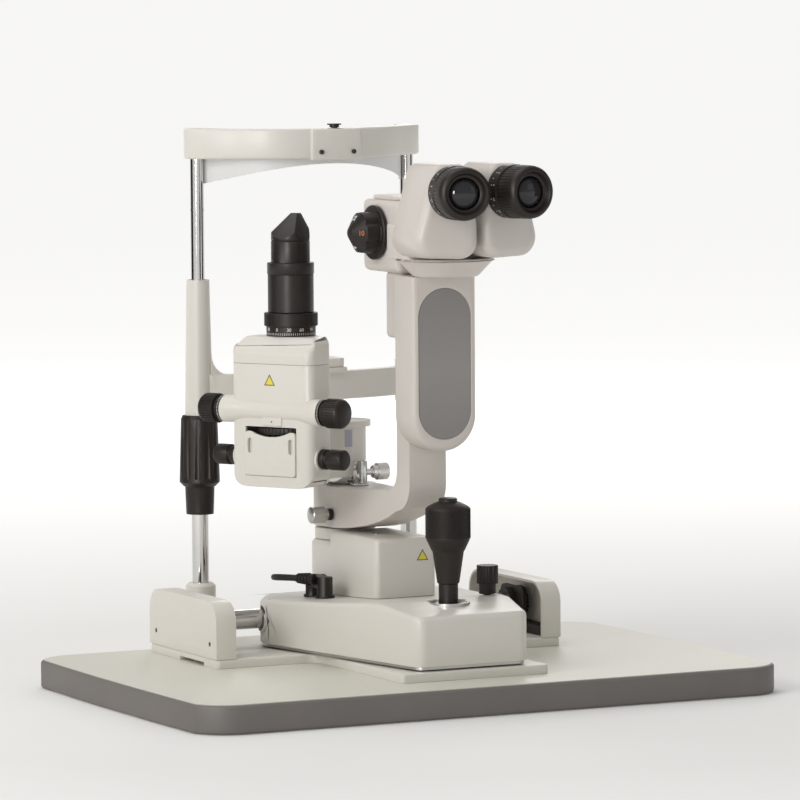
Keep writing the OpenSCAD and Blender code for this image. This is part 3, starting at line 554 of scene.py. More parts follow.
def addSlab(name, outline, low, high):  # an outline in millimetres, raised between two heights
    inObjectMode()
    bpy.ops.mesh.primitive_circle_add(vertices=len(outline), radius=1, fill_type="NGON")
    piece = bpy.context.active_object
    piece.name = name
    for vertex, (x, y) in zip(piece.data.vertices, outline):
        vertex.co = Vector((x, y, tableZ + low)) * millimetre
    bpy.ops.object.mode_set(mode="EDIT")
    bpy.ops.mesh.select_mode(type="FACE")
    bpy.ops.mesh.select_all(action="SELECT")
    bpy.ops.mesh.extrude_region_move(TRANSFORM_OT_translate={"value": (0, 0, (high - low) * millimetre)})
    bpy.ops.mesh.select_all(action="SELECT")
    bpy.ops.mesh.normals_make_consistent(inside=False)
    bpy.ops.object.mode_set(mode="OBJECT")
    return piece


def addBlock(name, low, high):  # a block between two corners in millimetres above the table top
    outline = [(low[0], low[1]), (high[0], low[1]), (high[0], high[1]), (low[0], high[1])]
    return addSlab(name, outline, low[2], high[2])


beam = {
    "half": 112, "poleY": 217, "sag": 72, "low": 467, "high": 496, "outer": 4, "inner": 5, "boss": 12.2,
    "blend": 0.42, "steps": 72, "bossSteps": 16, "edge": 2.2,
    "blockHalf": 25, "blockOut": 7.5, "blockIn": 4, "blockLow": 465.6, "blockHigh": 495.6, "blockSteps": 6,
    "blockEdge": 1.6, "sharper": 50,
}
bowRadius = (beam["half"] ** 2 + beam["sag"] ** 2) / (2 * beam["sag"])
bowCentre = beam["poleY"] - beam["sag"] + bowRadius
bowEnd = math.asin(beam["half"] / bowRadius)


def bowPoint(turn, offset):
    return ((bowRadius + offset) * math.sin(turn), bowCentre - (bowRadius + offset) * math.cos(turn))


def bowOffset(turn, middle):  # the beam swells smoothly into its pole bosses
    near = max(0.0, 1 - (bowEnd - abs(turn)) / beam["blend"])
    return middle + (beam["boss"] - middle) * near * near * (3 - 2 * near)


def bossArc(side):  # the half circle that ends the beam behind a pole
    points = []
    for step in range(1, beam["bossSteps"]):
        swept = math.pi * step / beam["bossSteps"]
        turn = bowEnd - math.pi / 2 + swept if side > 0 else bowEnd + math.pi / 2 - swept
        points.append((side * (beam["half"] + beam["boss"] * math.cos(turn)),
                       beam["poleY"] + beam["boss"] * math.sin(turn)))
    return points


turns = [bowEnd * (2 * k / beam["steps"] - 1) for k in range(beam["steps"] + 1)]
beamOutline = [bowPoint(turn, bowOffset(turn, beam["outer"])) for turn in turns]
beamOutline += bossArc(1)
beamOutline += [bowPoint(turn, -bowOffset(turn, beam["inner"])) for turn in reversed(turns)]
beamOutline += bossArc(-1)
beamBody = addSlab("beamBody", beamOutline, beam["low"], beam["high"])
roundEdges(beamBody, lambda middle, normals: beam["edge"], sharper=beam["sharper"])
blockEnd = math.asin(beam["blockHalf"] / bowRadius)
blockTurns = [blockEnd * (k / beam["blockSteps"] - 1) for k in range(2 * beam["blockSteps"] + 1)]
blockOutline = [bowPoint(turn, beam["blockOut"]) for turn in blockTurns]
blockOutline += [bowPoint(turn, -beam["blockIn"]) for turn in reversed(blockTurns)]
beamBlock = addSlab("beamBlock", blockOutline, beam["blockLow"], beam["blockHigh"])
roundEdges(beamBlock, lambda middle, normals: beam["blockEdge"], sharper=beam["sharper"])
browBeam = joined("browBeam", [beamBody, beamBlock])
settle(browBeam, "stand", looks["painted_cover"], ["brow_beam"])

head = {
    "low": (-33, -55, 367), "high": (33, 19, 434), "neckLow": (-25, -48.6, 306), "neckHigh": (25, -12, 368),
    "bore": 21, "boreZ": 404, "boreDeep": 20, "boreSides": 96, "sideX": 30,
    "lowerEdge": 8.5, "sideEdge": 6.0, "middleEdge": 3.5, "neckEdge": 5.0,
}


def headEdge(middle, normals):  # the lower side edges are the roundest
    if abs(middle.x) <= head["sideX"]:
        return head["middleEdge"]
    return head["lowerEdge"] if middle.z < tableZ + 400 else head["sideEdge"]


headPiece = roundEdges(addBlock("microscopeHead", head["low"], head["high"]), headEdge, 6)
neckPiece = addBlock("headNeck", head["neckLow"], head["neckHigh"])
roundEdges(neckPiece, lambda middle, normals: head["neckEdge"], 4)
inObjectMode()
bpy.ops.mesh.primitive_cylinder_add(
    vertices=head["boreSides"], radius=head["bore"] * millimetre, depth=head["boreDeep"] * 2 * millimetre,
    location=(0, head["high"][1] * millimetre, tableTop + head["boreZ"] * millimetre),
    rotation=(math.radians(90), 0, 0))
boreTool = bpy.context.active_object
hollow = headPiece.modifiers.new("bore", "BOOLEAN")
hollow.operation, hollow.solver, hollow.object = "DIFFERENCE", "EXACT", boreTool
applyAll(headPiece)
bpy.data.objects.remove(boreTool)
headPiece = joined("microscopeHead", [headPiece, neckPiece])
settle(headPiece, "microscope", looks["warm_paint"], ["microscope_head"])

trackCover = {"endX": 179.5, "outerEdge": 3.2, "innerEdge": 0.9}
edgeBand = {"outerEdge": 6.0, "innerEdge": 0.4}


def trackCoverEdge(middle, normals):  # outward is -1 on the left cover and 1 on the right one
    atEnd = middle.x * outward > trackCover["endX"]
    return trackCover["outerEdge" if atEnd and max(n.z for n in normals) > -0.5 else "innerEdge"]


def bandEdge(middle, normals):
    facesOut = sum(n.x * middle.x + n.y * middle.y for n in normals) > 0
    return edgeBand["outerEdge" if facesOut else "innerEdge"]


for side in ("left", "right"):
    shell = mergedCopy(side + "TrackCover", side + "_cover")
    outward = -1 if side == "left" else 1
    roundEdges(shell, trackCoverEdge)
    settle(shell, "stand", looks["painted_cover"], [side + "_cover"])
bandShell = mergedCopy("tableEdgeBand", "edge_band")
roundEdges(bandShell, bandEdge, 5)
settle(bandShell, "stand", looks["edge_rubber"], ["edge_band"])
print("shells rounded")


# turned and ribbed pieces


def turned(name, profile, sides=72):  # closed round piece along Z, from (height, radius) steps in millimetres
    inObjectMode()
    height, radius = profile[0]
    bpy.ops.mesh.primitive_circle_add(
        vertices=sides, radius=radius * millimetre, fill_type="NGON", location=(0, 0, height * millimetre))
    piece = bpy.context.active_object
    piece.name = name
    bpy.ops.object.transform_apply(location=True, rotation=True, scale=True)
    bpy.ops.object.mode_set(mode="EDIT")
    bpy.ops.mesh.select_mode(type="FACE")
    bpy.ops.mesh.select_all(action="SELECT")
    for nextHeight, nextRadius in profile[1:]:
        rise = (nextHeight - height) * millimetre
        bpy.ops.mesh.extrude_region_move(TRANSFORM_OT_translate={"value": (0, 0, rise)})
        widen = nextRadius / radius
        bpy.ops.transform.resize(value=(widen, widen, 1), center_override=(0, 0, 0))
        height, radius = nextHeight, nextRadius
    bpy.ops.mesh.select_all(action="SELECT")
    bpy.ops.mesh.normals_make_consistent(inside=False)
    bpy.ops.object.mode_set(mode="OBJECT")
    return piece


def pressRibs(piece, low, high, sides, inset, depth, every=2):  # sinks some of the faces round a band
    makeActive(piece)
    mesh = piece.data
    bpy.ops.object.mode_set(mode="EDIT")
    bpy.ops.mesh.select_mode(type="FACE")
    bpy.ops.mesh.select_all(action="DESELECT")
    bpy.ops.object.mode_set(mode="OBJECT")
    for face in mesh.polygons:
        place = face.center / millimetre
        turn = round(math.atan2(place.y, place.x) / math.tau * sides - 0.5) % sides
        face.select = low < place.z < high and abs(face.normal.z) < 0.5 and turn % every == 0
    bpy.ops.object.mode_set(mode="EDIT")
    bpy.ops.mesh.inset(use_individual=True, thickness=inset * millimetre, depth=-depth * millimetre)
    bpy.ops.object.mode_set(mode="OBJECT")
    return piece


def aim(piece, at, direction, spin=0.0):  # stands a piece made along Z at a place, pointing along a direction
    turn = Vector(direction).normalized().to_track_quat("Z", "Y").to_matrix().to_4x4()
    piece.data.transform(Matrix.Translation(at) @ turn @ Matrix.Rotation(spin, 4, "Z"))
    return piece


def ringMarks(name, radius, height, angles, size):  # raised marks round a band, size is (wide, long, thick)
    marks = []
    for angle in angles:
        inObjectMode()
        bpy.ops.mesh.primitive_cube_add(size=1)
        mark = bpy.context.active_object
        mark.scale = [s * millimetre for s in (size[2], size[0], size[1])]
        mark.location = (radius * millimetre, 0, height * millimetre)
        bpy.ops.object.transform_apply(location=True, rotation=True, scale=True)
        mark.data.transform(Matrix.Rotation(math.radians(angle), 4, "Z"))
        marks.append(mark)
    return joined(name, marks)


def ringNumbers(name, radius, height, labels, size, thick=0.12):  # numbers wrapped round a band
    words = []
    for angle, label in labels:
        inObjectMode()
        bpy.ops.object.text_add()
        word = bpy.context.active_object
        word.data.body = label
        word.data.size = size * millimetre
        word.data.align_x, word.data.align_y = "CENTER", "CENTER"
        word.data.extrude = thick * millimetre
        bpy.ops.object.convert(target="MESH")
        word = bpy.context.active_object
        for vertex in word.data.vertices:
            across, up, out = vertex.co
            reach = radius * millimetre + out
            turn = math.radians(angle) + across / (radius * millimetre)
            vertex.co = (reach * math.cos(turn), reach * math.sin(turn), height * millimetre + up)
        words.append(word)
    return joined(name, words)


whiteInk = makePaint("whiteInk", rgb(0.80, 0.80, 0.78), rgb(0.72, 0.72, 0.70), 0.5)
orangeInk = makePaint("orangeInk", rgb(0.72, 0.22, 0.08), rgb(0.62, 0.18, 0.06), 0.5)
grip = looks["grip_rubber"]
black = looks["black_plastic"]


def above(x, y, z):  # a place in millimetres above the table top, as a vector in metres
    return Vector((x, y, z)) * millimetre + Vector((0, 0, tableTop))


# joystick
joystick = {
    "place": (0, -90), "ringFrom": 125.2, "ringStep": 1.85, "rings": 14, "ringRadius": 20.9, "sides": 80,
    "ribInset": 0.22, "ribDepth": 0.4,
    "stem": ((82.4, 9.6), (82.8, 10.1), (84, 10.4), (111.6, 14.5), (112.6, 14.9), (113.4, 15.6),
             (122.6, 19.9), (123.6, 20.2), (124.0, 20.2), (124.3, 20.9)),
    "crown": ((151.8, 20.7), (152.8, 19.9), (154.6, 17.2), (156.4, 13.6), (157.6, 11.0), (158, 9.6),
              (157.8, 9.2), (155.5, 9.0)),
}
knurlRings = [(joystick["ringFrom"] + k * joystick["ringStep"], joystick["ringRadius"])
              for k in range(joystick["rings"] + 1)]
gripPiece = turned("joystickGrip", [*joystick["stem"], *knurlRings, *joystick["crown"]], joystick["sides"])
pressRibs(gripPiece, joystick["ringFrom"], knurlRings[-1][0], joystick["sides"], joystick["ribInset"],
          joystick["ribDepth"], 1)
gripPiece.data.transform(Matrix.Translation(above(*joystick["place"], 0)))
settle(gripPiece, "grip", grip, ["joystick_grip"])
print("joystick made")


# eyepieces
eyepiece = {
    "foot": (27.5, -160), "height": 446, "angle": 10, "sides": 96, "ribs": (17, 32), "ribInset": 0.3,
    "ribDepth": 0.25, "barrelSmooth": 26, "lensSmooth": 60,
    "barrel": ((-2.8, 16.4), (0.4, 16.6), (0.4, 24.2), (0.8, 24.6), (13.2, 24.6), (13.8, 24.0),
               (14.2, 23.0), (15.2, 23.0), (15.7, 24.0), (16.4, 24.3), (32.5, 24.3), (35.5, 23.8),
               (37.6, 22.6), (38.7, 21.2), (39, 20.0), (38.7, 18.9), (37.4, 18.0), (35.0, 17.4),
               (34.2, 16.9), (33.8, 15.2), (33.4, 14.6), (30.0, 14.0), (29.4, 13.5), (26.5, 13.4)),
    "lens": ((24, 13.3), (31.2, 13.35), (32.0, 13.2), (33.0, 12.5), (34.0, 11.2), (34.8, 9.6), (35.5, 7.6),
             (36.0, 5.4), (36.3, 3.2), (36.4, 1.2)),
}
dioptreScale = {
    "radius": 24.6, "marksAt": 6.5, "markFrom": -60, "markStep": 15, "marks": 13,
    "markSize": (0.5, 1.6, 0.16),
    "numberRadius": 24.62, "numbersAt": 10.2, "numberSize": 3.2, "turn": 150,
    "numbers": ((-45, "-5"), (-15, "-2"), (15, "0"), (45, "+2"), (75, "+5")),
}


def addEyepiece(side, sideName):
    lean = math.radians(eyepiece["angle"]) * side
    direction = (math.sin(lean), -math.cos(lean), 0)
    at = above(side * eyepiece["foot"][0], eyepiece["foot"][1], eyepiece["height"])
    body = sideName + "_ocular"
    barrel = turned(sideName + "EyeBarrel", eyepiece["barrel"], eyepiece["sides"])
    pressRibs(barrel, *eyepiece["ribs"], eyepiece["sides"], eyepiece["ribInset"], eyepiece["ribDepth"])
    settle(aim(barrel, at, direction), body, black, [sideName + "_eyepiece"],
           eyepiece["barrelSmooth"])
    lens = turned(sideName + "EyeLens", eyepiece["lens"], eyepiece["sides"])
    settle(aim(lens, at, direction), body, looks["lens_glass"], [sideName + "_eye_lens"],
           eyepiece["lensSmooth"])
    scale = dioptreScale
    markAngles = [scale["markFrom"] + scale["markStep"] * k for k in range(scale["marks"])]
    marks = ringMarks(sideName + "DioptreMarks", scale["radius"], scale["marksAt"], markAngles,
                      scale["markSize"])
    numbers = ringNumbers(sideName + "DioptreNumbers", scale["numberRadius"], scale["numbersAt"],
                          scale["numbers"], scale["numberSize"])
    scalePiece = joined(sideName + "DioptreScale", [marks, numbers])
    settle(aim(scalePiece, at, direction, math.radians(scale["turn"])), body, whiteInk)


for side, sideName in ((-1, "left"), (1, "right")):
    addEyepiece(side, sideName)
print("eyepieces made")


# prism housings

housing = {
    "x": 32.7, "back": -103,  # the back edge is rounded in steps, each with its inset
    "corners": (  # centre across and up, radius, of the outline's corners seen from the front, outwards is +
        (12.5, 403.5, 17.5), (3.0, 459.0, 12.5), (-13.5, 461.0, 10.5), (-19.5, 416.0, 10.4),
        (-14.5, 400.5, 15.4)),
    "frontRadius": 10.0, "frontSteps": 9, "arcSteps": 12, "backInsets": (1.6, 0.5, 0.0), "backStep": 0.8,
    "smooth": 50,
}


def roundedOutline(corners, inset, steps):  # points round the hull of some circles, anticlockwise
    points = []
    turns = []
    for k, (ax, az, ar) in enumerate(corners):
        bx, bz, br = corners[(k + 1) % len(corners)]
        along = math.atan2(bz - az, bx - ax)
        turns.append(along - math.pi / 2 - math.asin((br - ar) / math.hypot(bx - ax, bz - az)))
    for k, (x, z, r) in enumerate(corners):
        start, end = turns[k - 1], turns[k]
        while end < start:
            end += math.tau
        for step in range(steps + 1):
            turn = start + (end - start) * step / steps
            points.append((x + (r - inset) * math.cos(turn), z + (r - inset) * math.sin(turn)))
    return points


def lofted(name, rings):  # closed piece through rings of places that match point for point
    inObjectMode()
    bpy.ops.mesh.primitive_circle_add(vertices=len(rings[0]), radius=1, fill_type="NGON")
    piece = bpy.context.active_object
    piece.name = name
    for vertex, place in zip(piece.data.vertices, rings[0]):
        vertex.co = place
    bpy.ops.object.mode_set(mode="EDIT")
    bpy.ops.mesh.select_mode(type="FACE")
    bpy.ops.mesh.select_all(action="SELECT")
    for before, ring in zip(rings, rings[1:]):
        bpy.ops.mesh.extrude_region_move()
        bpy.ops.object.mode_set(mode="OBJECT")
        for vertex in [v for v in piece.data.vertices if v.select]:
            nearest = min(range(len(before)), key=lambda k: (Vector(before[k]) - vertex.co).length_squared)
            vertex.co = ring[nearest]
        bpy.ops.object.mode_set(mode="EDIT")
    bpy.ops.mesh.select_all(action="SELECT")
    bpy.ops.mesh.normals_make_consistent(inside=False)
    bpy.ops.object.mode_set(mode="OBJECT")
    return piece


def addPrismHousing(side, sideName):
    lean = math.tan(math.radians(eyepiece["angle"]))
    radius = housing["frontRadius"]
    sections = [(None, inset) for inset in housing["backInsets"]]
    for step in range(housing["frontSteps"] + 1):
        turn = math.pi / 2 * step / housing["frontSteps"]
        sections.append((radius * (1 - math.sin(turn)), radius * (1 - math.cos(turn))))
    rings = []
    for number, (behind, inset) in enumerate(sections):
        ring = []
        for across, up in roundedOutline(housing["corners"], inset, housing["arcSteps"]):
            x = housing["x"] + across
            front = eyepiece["foot"][1] + (x - eyepiece["foot"][0]) * lean
            y = housing["back"] - number * housing["backStep"] if behind is None else front + behind
            ring.append(above(side * x, y, up))
        rings.append(ring)
    piece = lofted(sideName + "PrismHousing", rings)
    settle(piece, sideName + "_prism", looks["warm_paint"], [sideName + "_prism_housing"],
           housing["smooth"])


for side, sideName in ((-1, "left"), (1, "right")):
    addPrismHousing(side, sideName)
print("prism housings made")


def cutAway(piece, place, away):
    makeActive(piece)
    bpy.ops.object.mode_set(mode="EDIT")
    bpy.ops.mesh.select_all(action="SELECT")
    bpy.ops.mesh.bisect(plane_co=place, plane_no=away, use_fill=True, clear_outer=True)
    bpy.ops.object.mode_set(mode="OBJECT")


# lamp

lamp = {"turn": -60, "crossEnd": 55, "crossY": -29, "crossZ": 235}
lampAxis = (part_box("lamp_barrel")[0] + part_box("lamp_barrel")[1]) / 2
lampFrame = Matrix.Translation((lampAxis.x, lampAxis.y, tableTop))
lampFrame = lampFrame @ Matrix.Rotation(math.radians(lamp["turn"]), 4, "Z")


def onLamp(piece):
    piece.data.transform(lampFrame)
    return piece


slitRing = {
    "sides": 144, "ribs": (314, 325), "ribInset": 0.12, "ribDepth": 0.4,
    "profile": ((304.4, 22.8), (304.7, 23.2), (313.0, 23.2), (313.2, 24.6), (313.8, 25.3), (325.2, 25.3),
                (325.8, 24.7), (325.8, 20)),
    "dialRadius": 23.2, "markStep": 5, "marksAt": 306.3, "markSize": (0.42, 2.2, 0.12),
    "numberStep": 30, "numberRadius": 23.22, "numbersAt": 310.3, "numberSize": 4.4,
}
ringPiece = turned("slitRing", slitRing["profile"], slitRing["sides"])
pressRibs(ringPiece, *slitRing["ribs"], slitRing["sides"], slitRing["ribInset"], slitRing["ribDepth"])
settle(onLamp(ringPiece), "slit_turn", black, ["slit_ring"])


def dialNumber(angle):  # the dial counts down from 90 to 0 and up again, twice round the ring
    return str(abs(90 - angle) if angle <= 180 else abs(angle - 270))


dialMarks = ringMarks("slitDialMarks", slitRing["dialRadius"], slitRing["marksAt"],
                      range(0, 360, slitRing["markStep"]), slitRing["markSize"])
dialNumbers = ringNumbers(
    "slitDialNumbers", slitRing["numberRadius"], slitRing["numbersAt"],
    [(angle, dialNumber(angle)) for angle in range(0, 360, slitRing["numberStep"])], slitRing["numberSize"])
settle(onLamp(joined("slitDial", [dialMarks, dialNumbers])), "slit_turn", whiteInk)

lampBarrel = {
    "sides": 96,
    "profile": ((325.7, 20), (326.2, 21.2), (326.6, 21.6), (361.6, 21.6), (362.0, 21.3), (362.2, 21.8),
                (362.7, 22.1), (372.2, 22.1), (372.8, 21.7), (373.0, 18.5), (373.4, 18.3), (392.8, 18.3),
                (394, 17.4), (394, 10)),
}
barrelPiece = turned("lampBarrel", lampBarrel["profile"], lampBarrel["sides"])
settle(onLamp(barrelPiece), "slit_turn", looks["anodised_black"], ["lamp_barrel"])

prismHead = {
    "sides": 64, "profile": ((394, 18.2), (418.9, 18.2)), "edge": 0.9, "footEdge": 0.2, "footTo": 394.5,
    "cuts": (  # a place on each cutting plane, and the side that is cut away
        ((0, -18, 396), (0, -0.69, 0.72)), ((0, 15.5, 400), (0, 1, 0)),
        ((-16.5, 0, 396), (-0.87, 0, 0.49)), ((16.5, 0, 396), (0.87, 0, 0.49)),
        ((0, 14.5, 400), (0, 0.99, 0.1))),
}
prismPiece = turned("prismHead", prismHead["profile"], prismHead["sides"])
for place, away in prismHead["cuts"]:
    cutAway(prismPiece, Vector(place) * millimetre, away)
roundEdges(
    prismPiece,
    lambda middle, normals: prismHead["edge" if middle.z > prismHead["footTo"] else "footEdge"], 3, 25)
settle(onLamp(prismPiece), "slit_turn", looks["anodised_black"], ["prism_head"])

slitKnob = {
    "sides": 72, "ribs": (8.2, 21), "ribInset": 0.14, "ribDepth": 0.55,
    "profile": ((-1, 3), (-1, 11), (0.4, 12.2), (0.7, 12.6), (3.2, 12.6), (3.4, 11.4), (7.2, 11.4),
                (7.4, 13.5), (7.9, 14), (21.2, 14), (22.2, 13.7), (24.9, 11.8), (25.5, 10.6)),
    "markRadius": 12.6, "marksAt": 2.0, "markStep": 6, "markSize": (0.36, 1.3, 0.1),
}
for side, sideName in ((-1, "left"), (1, "right")):
    knob = turned(sideName + "SlitKnob", slitKnob["profile"], slitKnob["sides"])
    pressRibs(knob, *slitKnob["ribs"], slitKnob["sides"], slitKnob["ribInset"], slitKnob["ribDepth"])
    marks = ringMarks(sideName + "SlitMarks", slitKnob["markRadius"], slitKnob["marksAt"],
                      range(0, 360, slitKnob["markStep"]), slitKnob["markSize"])
    end = Vector((side * lamp["crossEnd"], lamp["crossY"], lamp["crossZ"])) * millimetre
    nodes = ["slit_knobs"] if side < 0 else []
    settle(onLamp(aim(knob, end, (side, 0, 0))), "slit_width", black, nodes)
    settle(onLamp(aim(marks, end, (side, 0, 0))), "slit_width", whiteInk)

lampArm = {"pivot": (0, 128), "edge": 1.4, "collarRadius": 20.1, "collarTop": 179.9}
armPiece = mergedCopy("lampArm", "lamp_arm")
roundEdges(armPiece, lambda middle, normals: lampArm["edge"])
settle(armPiece, "lamp", looks["painted_cover"], ["lamp_arm"])
armPiece.data.materials.append(looks["chrome_tube"])
for face in armPiece.data.polygons:
    place = face.center / millimetre
    reach = math.hypot(place.x - lampArm["pivot"][0], place.y - lampArm["pivot"][1])
    if reach < lampArm["collarRadius"] and place.z < tableZ + lampArm["collarTop"]:
        face.material_index = 1

columnLabel = {"radius": 20.4, "height": 201.6, "turn": -105, "strips": (-9, -6, -3, 0, 3, 6, 9),
               "stripSize": (1.12, 16.4, 0.16)}
lilac = makePaint("lilacLabel", rgb(0.46, 0.45, 0.56), rgb(0.42, 0.41, 0.52), 0.4)
label = ringMarks("columnLabel", columnLabel["radius"], columnLabel["height"], columnLabel["strips"],
                  columnLabel["stripSize"])
label.data.transform(Matrix.Translation(above(*lampArm["pivot"], 0))
                     @ Matrix.Rotation(math.radians(columnLabel["turn"]), 4, "Z"))
settle(label, "lamp", lilac)
print("lamp made")


# knobs, labels and small parts

smallParts = (  # piece, node, edge radius in millimetres, body
    ("apertureKnobs", "aperture_knobs", 0.5, "aperture"),
    ("heightRing", "height_ring", 0.6, "chin_nut"),
    ("axleWheels", "axle_wheels", 0.3, "axle"),
    ("carriageLock", "carriage_lock_knob", 0.5, "carriage_lock"),
    ("leadPlug", "lead_plug", 0.6, "carriage"),
    ("filterWheel", "filter_wheel", 0.3, "filter"),
)
for pieceName, node, radius, body in smallParts:
    part = mergedCopy(pieceName, node)
    roundEdges(part, lambda middle, normals: radius, 2)
    settle(part, body, black, [node])

magnifier = {
    "x": -21, "sides": 96, "flutes": 6, "fluteDepth": 1.9, "fluteFrom": 17.4, "fluteTo": 31,
    "fluteSharpness": 6, "coreRadius": 10,
    "profile": ((12, 4), (13.0, 24.6), (13.6, 25.3), (16.4, 25.3), (17.2, 24.4), (17.3, 20.4), (17.8, 20.0),
                (22, 19.7), (27, 19.4), (30.4, 18.9), (31.2, 17.6), (40.0, 5.6), (40.6, 4.6), (41.0, 3.0)),
    "slope": 36, "spin": 0, "numberAt": (13.6, 34.6), "numberSize": 6.4, "numberThick": 0.25,
    "numbers": ((orangeInk, ((0, "10"), (180, "16"))), (whiteInk, ((90, "25"), (270, "6")))),
}
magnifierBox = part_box("magnification_knob")
magnifierMiddle = (magnifierBox[0] + magnifierBox[1]) / 2
magnifierAt = Vector((magnifier["x"] * millimetre, magnifierMiddle.y, magnifierMiddle.z))
magnifierKnob = turned("magnifierKnob", magnifier["profile"], magnifier["sides"])
for vertex in magnifierKnob.data.vertices:  # shallow finger flutes down the knob's side
    place = vertex.co / millimetre
    reach = math.hypot(place.x, place.y)
    if magnifier["fluteFrom"] < place.z < magnifier["fluteTo"] and reach > magnifier["coreRadius"]:
        wave = 0.5 - 0.5 * math.cos(magnifier["flutes"] * math.atan2(place.y, place.x))
        sink = 1 - magnifier["fluteDepth"] * wave ** magnifier["fluteSharpness"] / reach
        vertex.co.x *= sink
        vertex.co.y *= sink
settle(aim(magnifierKnob, magnifierAt, (-1, 0, 0)), "magnifier", black,
       ["magnification_knob"])


def coneNumber(word, angle):  # a number that leans back on the knob's cone
    inObjectMode()
    bpy.ops.object.text_add()
    text = bpy.context.active_object
    text.data.body = word
    text.data.size = magnifier["numberSize"] * millimetre
    text.data.extrude = magnifier["numberThick"] * millimetre
    text.data.align_x, text.data.align_y = "CENTER", "CENTER"
    bpy.ops.object.convert(target="MESH")
    text = bpy.context.active_object
    across, height = magnifier["numberAt"]
    slope = Matrix.Rotation(math.radians(magnifier["slope"]), 4, "Y")
    spin = Matrix.Rotation(math.radians(magnifier["spin"]), 4, "Z")
    at = Matrix.Translation(Vector((across, 0, height)) * millimetre)
    text.data.transform(Matrix.Rotation(math.radians(angle), 4, "Z") @ at @ slope @ spin)
    return text


for ink, words in magnifier["numbers"]:
    numbers = joined("magnifierNumbers" + words[0][1], [coneNumber(word, angle) for angle, word in words])
    settle(aim(numbers, magnifierAt, (-1, 0, 0)), "magnifier", ink)

yellowLabel = makePaint("yellowLabel", rgb(0.78, 0.70, 0.08), rgb(0.72, 0.64, 0.07), 0.4)
labelEdge = makePaint("labelEdge", rgb(0.05, 0.045, 0.03), rgb(0.04, 0.036, 0.025), 0.4)
triangle = {"size": 7.0, "thick": 0.12, "border": 0.11, "raised": 0.03, "onLamp": (-1, -34.7, 262.5),
            "onHousing": (17, -3.0, 98)}


def triangleLabel(name, body, place):
    inObjectMode()
    bpy.ops.mesh.primitive_circle_add(vertices=3, radius=triangle["size"] * millimetre, fill_type="NGON")
    piece = bpy.context.active_object
    piece.name = name
    bpy.ops.object.mode_set(mode="EDIT")
    bpy.ops.mesh.select_all(action="SELECT")
    bpy.ops.mesh.extrude_region_move(TRANSFORM_OT_translate={"value": (0, 0, triangle["thick"] * millimetre)})
    bpy.ops.mesh.inset(thickness=triangle["size"] * triangle["border"] * millimetre,
                       depth=triangle["raised"] * millimetre)
    bpy.ops.object.mode_set(mode="OBJECT")
    inner = max(piece.data.polygons, key=lambda face: face.center.z)
    piece.data.transform(place @ Matrix.Rotation(math.radians(90), 4, "X"))
    settle(piece, body, labelEdge)
    piece.data.materials.append(yellowLabel)
    inner.material_index = 1


triangleLabel("lampLabel", "lamp", lampFrame @ Matrix.Translation(Vector(triangle["onLamp"]) * millimetre))
triangleLabel("housingLabel", "carriage", Matrix.Translation(above(*triangle["onHousing"])))

boss = {
    "low": (-9, -36.3, 220.8), "high": (13, -33, 229.5), "edge": 1.4,
    "screwAt": (2, -36.2, 225), "screwSides": 20, "screw": ((-1, 0.8), (0.15, 0.8), (0.2, 0.6)),
}
wheelBoss = addBlock("wheelBoss", boss["low"], boss["high"])
roundEdges(wheelBoss, lambda middle, normals: boss["edge"], 4)
wheelBoss.data.transform(lampFrame @ Matrix.Translation((0, 0, -tableTop)))
settle(wheelBoss, "lamp", looks["painted_cover"])
bossScrew = turned("bossScrew", boss["screw"], boss["screwSides"])
aim(bossScrew, Vector(boss["screwAt"]) * millimetre, (0, -1, 0))
settle(onLamp(bossScrew), "lamp", black)

topScrew = {"at": (-9, 42), "sides": 24, "profile": ((115.4, 1.9), (116.1, 1.8), (116.15, 1.0), (115.8, 0.9))}
boxScrew = turned("boxScrew", topScrew["profile"], topScrew["sides"])
boxScrew.data.transform(Matrix.Translation(above(*topScrew["at"], 0)))
settle(boxScrew, "carriage", looks["chrome_tube"])
print("labels made")


# clamp and lock knob

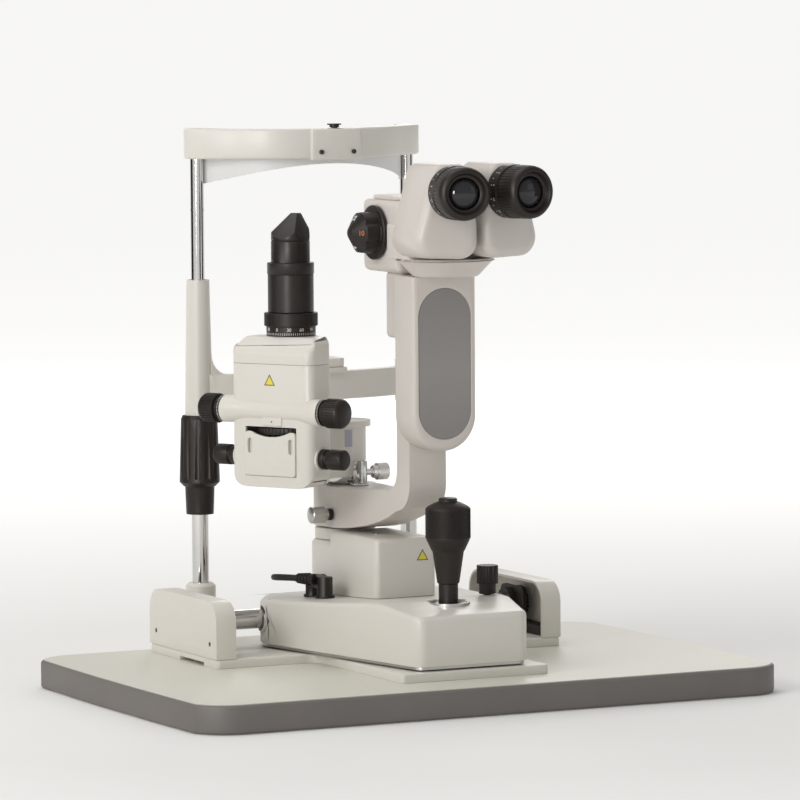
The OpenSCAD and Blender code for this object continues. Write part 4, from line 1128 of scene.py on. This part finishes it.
clamp = {
    "at": (0, 96, 170), "sides": 96, "ribs": (18.2, 28), "ribInset": 0.06, "ribDepth": 0.22,
    "barLow": (0.3, 92.6, 157.1), "barHigh": (7.6, 99.4, 180.8), "barMiddle": 169, "barReach": 9,
    "barEdge": 2.6, "barEndEdge": 0.8,
    "footLow": (-8, 91, 157), "footHigh": (7.6, 101, 159.6), "footEdge": 0.9,
    "screwAt": (3.9, 96), "screwSides": 24, "screw": ((180.4, 1.6), (181.0, 1.5), (181.0, 0.9), (180.7, 0.8)),
    "knob": ((0.5, 3), (13.5, 3), (13.7, 5.6), (14.4, 6.2), (17.4, 6.2), (17.6, 7.6), (18.1, 8.1),
             (28.2, 8.1), (28.8, 7.7), (29, 7.0)),
}


def clampBarEdge(middle, normals):
    nearMiddle = abs(middle.z - tableZ - clamp["barMiddle"]) < clamp["barReach"]
    return clamp["barEdge" if nearMiddle else "barEndEdge"]


bar = addBlock("clampBar", clamp["barLow"], clamp["barHigh"])
roundEdges(bar, clampBarEdge, 4)
foot = addBlock("clampFoot", clamp["footLow"], clamp["footHigh"])
roundEdges(foot, lambda middle, normals: clamp["footEdge"], 3)
screw = turned("clampScrew", clamp["screw"], clamp["screwSides"])
screw.data.transform(Matrix.Translation(above(*clamp["screwAt"], 0)))
clampBracket = joined("clampBracket", [bar, foot, screw])
settle(clampBracket, "microscope", looks["chrome_tube"], ["arm_bracket"])
clampKnob = turned("clampKnob", clamp["knob"], clamp["sides"])
pressRibs(clampKnob, *clamp["ribs"], clamp["sides"], clamp["ribInset"], clamp["ribDepth"])
aim(clampKnob, above(*clamp["at"]), (1, 0, 0))
settle(clampKnob, "clamp", looks["bright_knob"], ["clamp_knob"])

armLock = {
    "at": (0, 100, 131), "sides": 72, "rootSides": 48, "root": ((28.6, 5.6), (32.4, 5.6), (32.8, 5.5)),
    "knob": ((13.5, 3), (29.2, 3), (29.4, 5.0), (29.8, 5.4), (35.8, 5.4), (36.0, 7.4), (36.5, 7.9),
             (49.2, 7.9), (49.8, 7.5), (50, 7.0)),
}
lockKnob = turned("armLockKnob", armLock["knob"], armLock["sides"])
settle(aim(lockKnob, above(*armLock["at"]), (-1, 0, 0)), "arm_lock", looks["brushed_plate"],
       ["arm_lock_knob"])
lockRoot = turned("armLockRoot", armLock["root"], armLock["rootSides"])
settle(aim(lockRoot, above(*armLock["at"]), (-1, 0, 0)), "arm_lock", black)
print("clamp made")


print("finished")
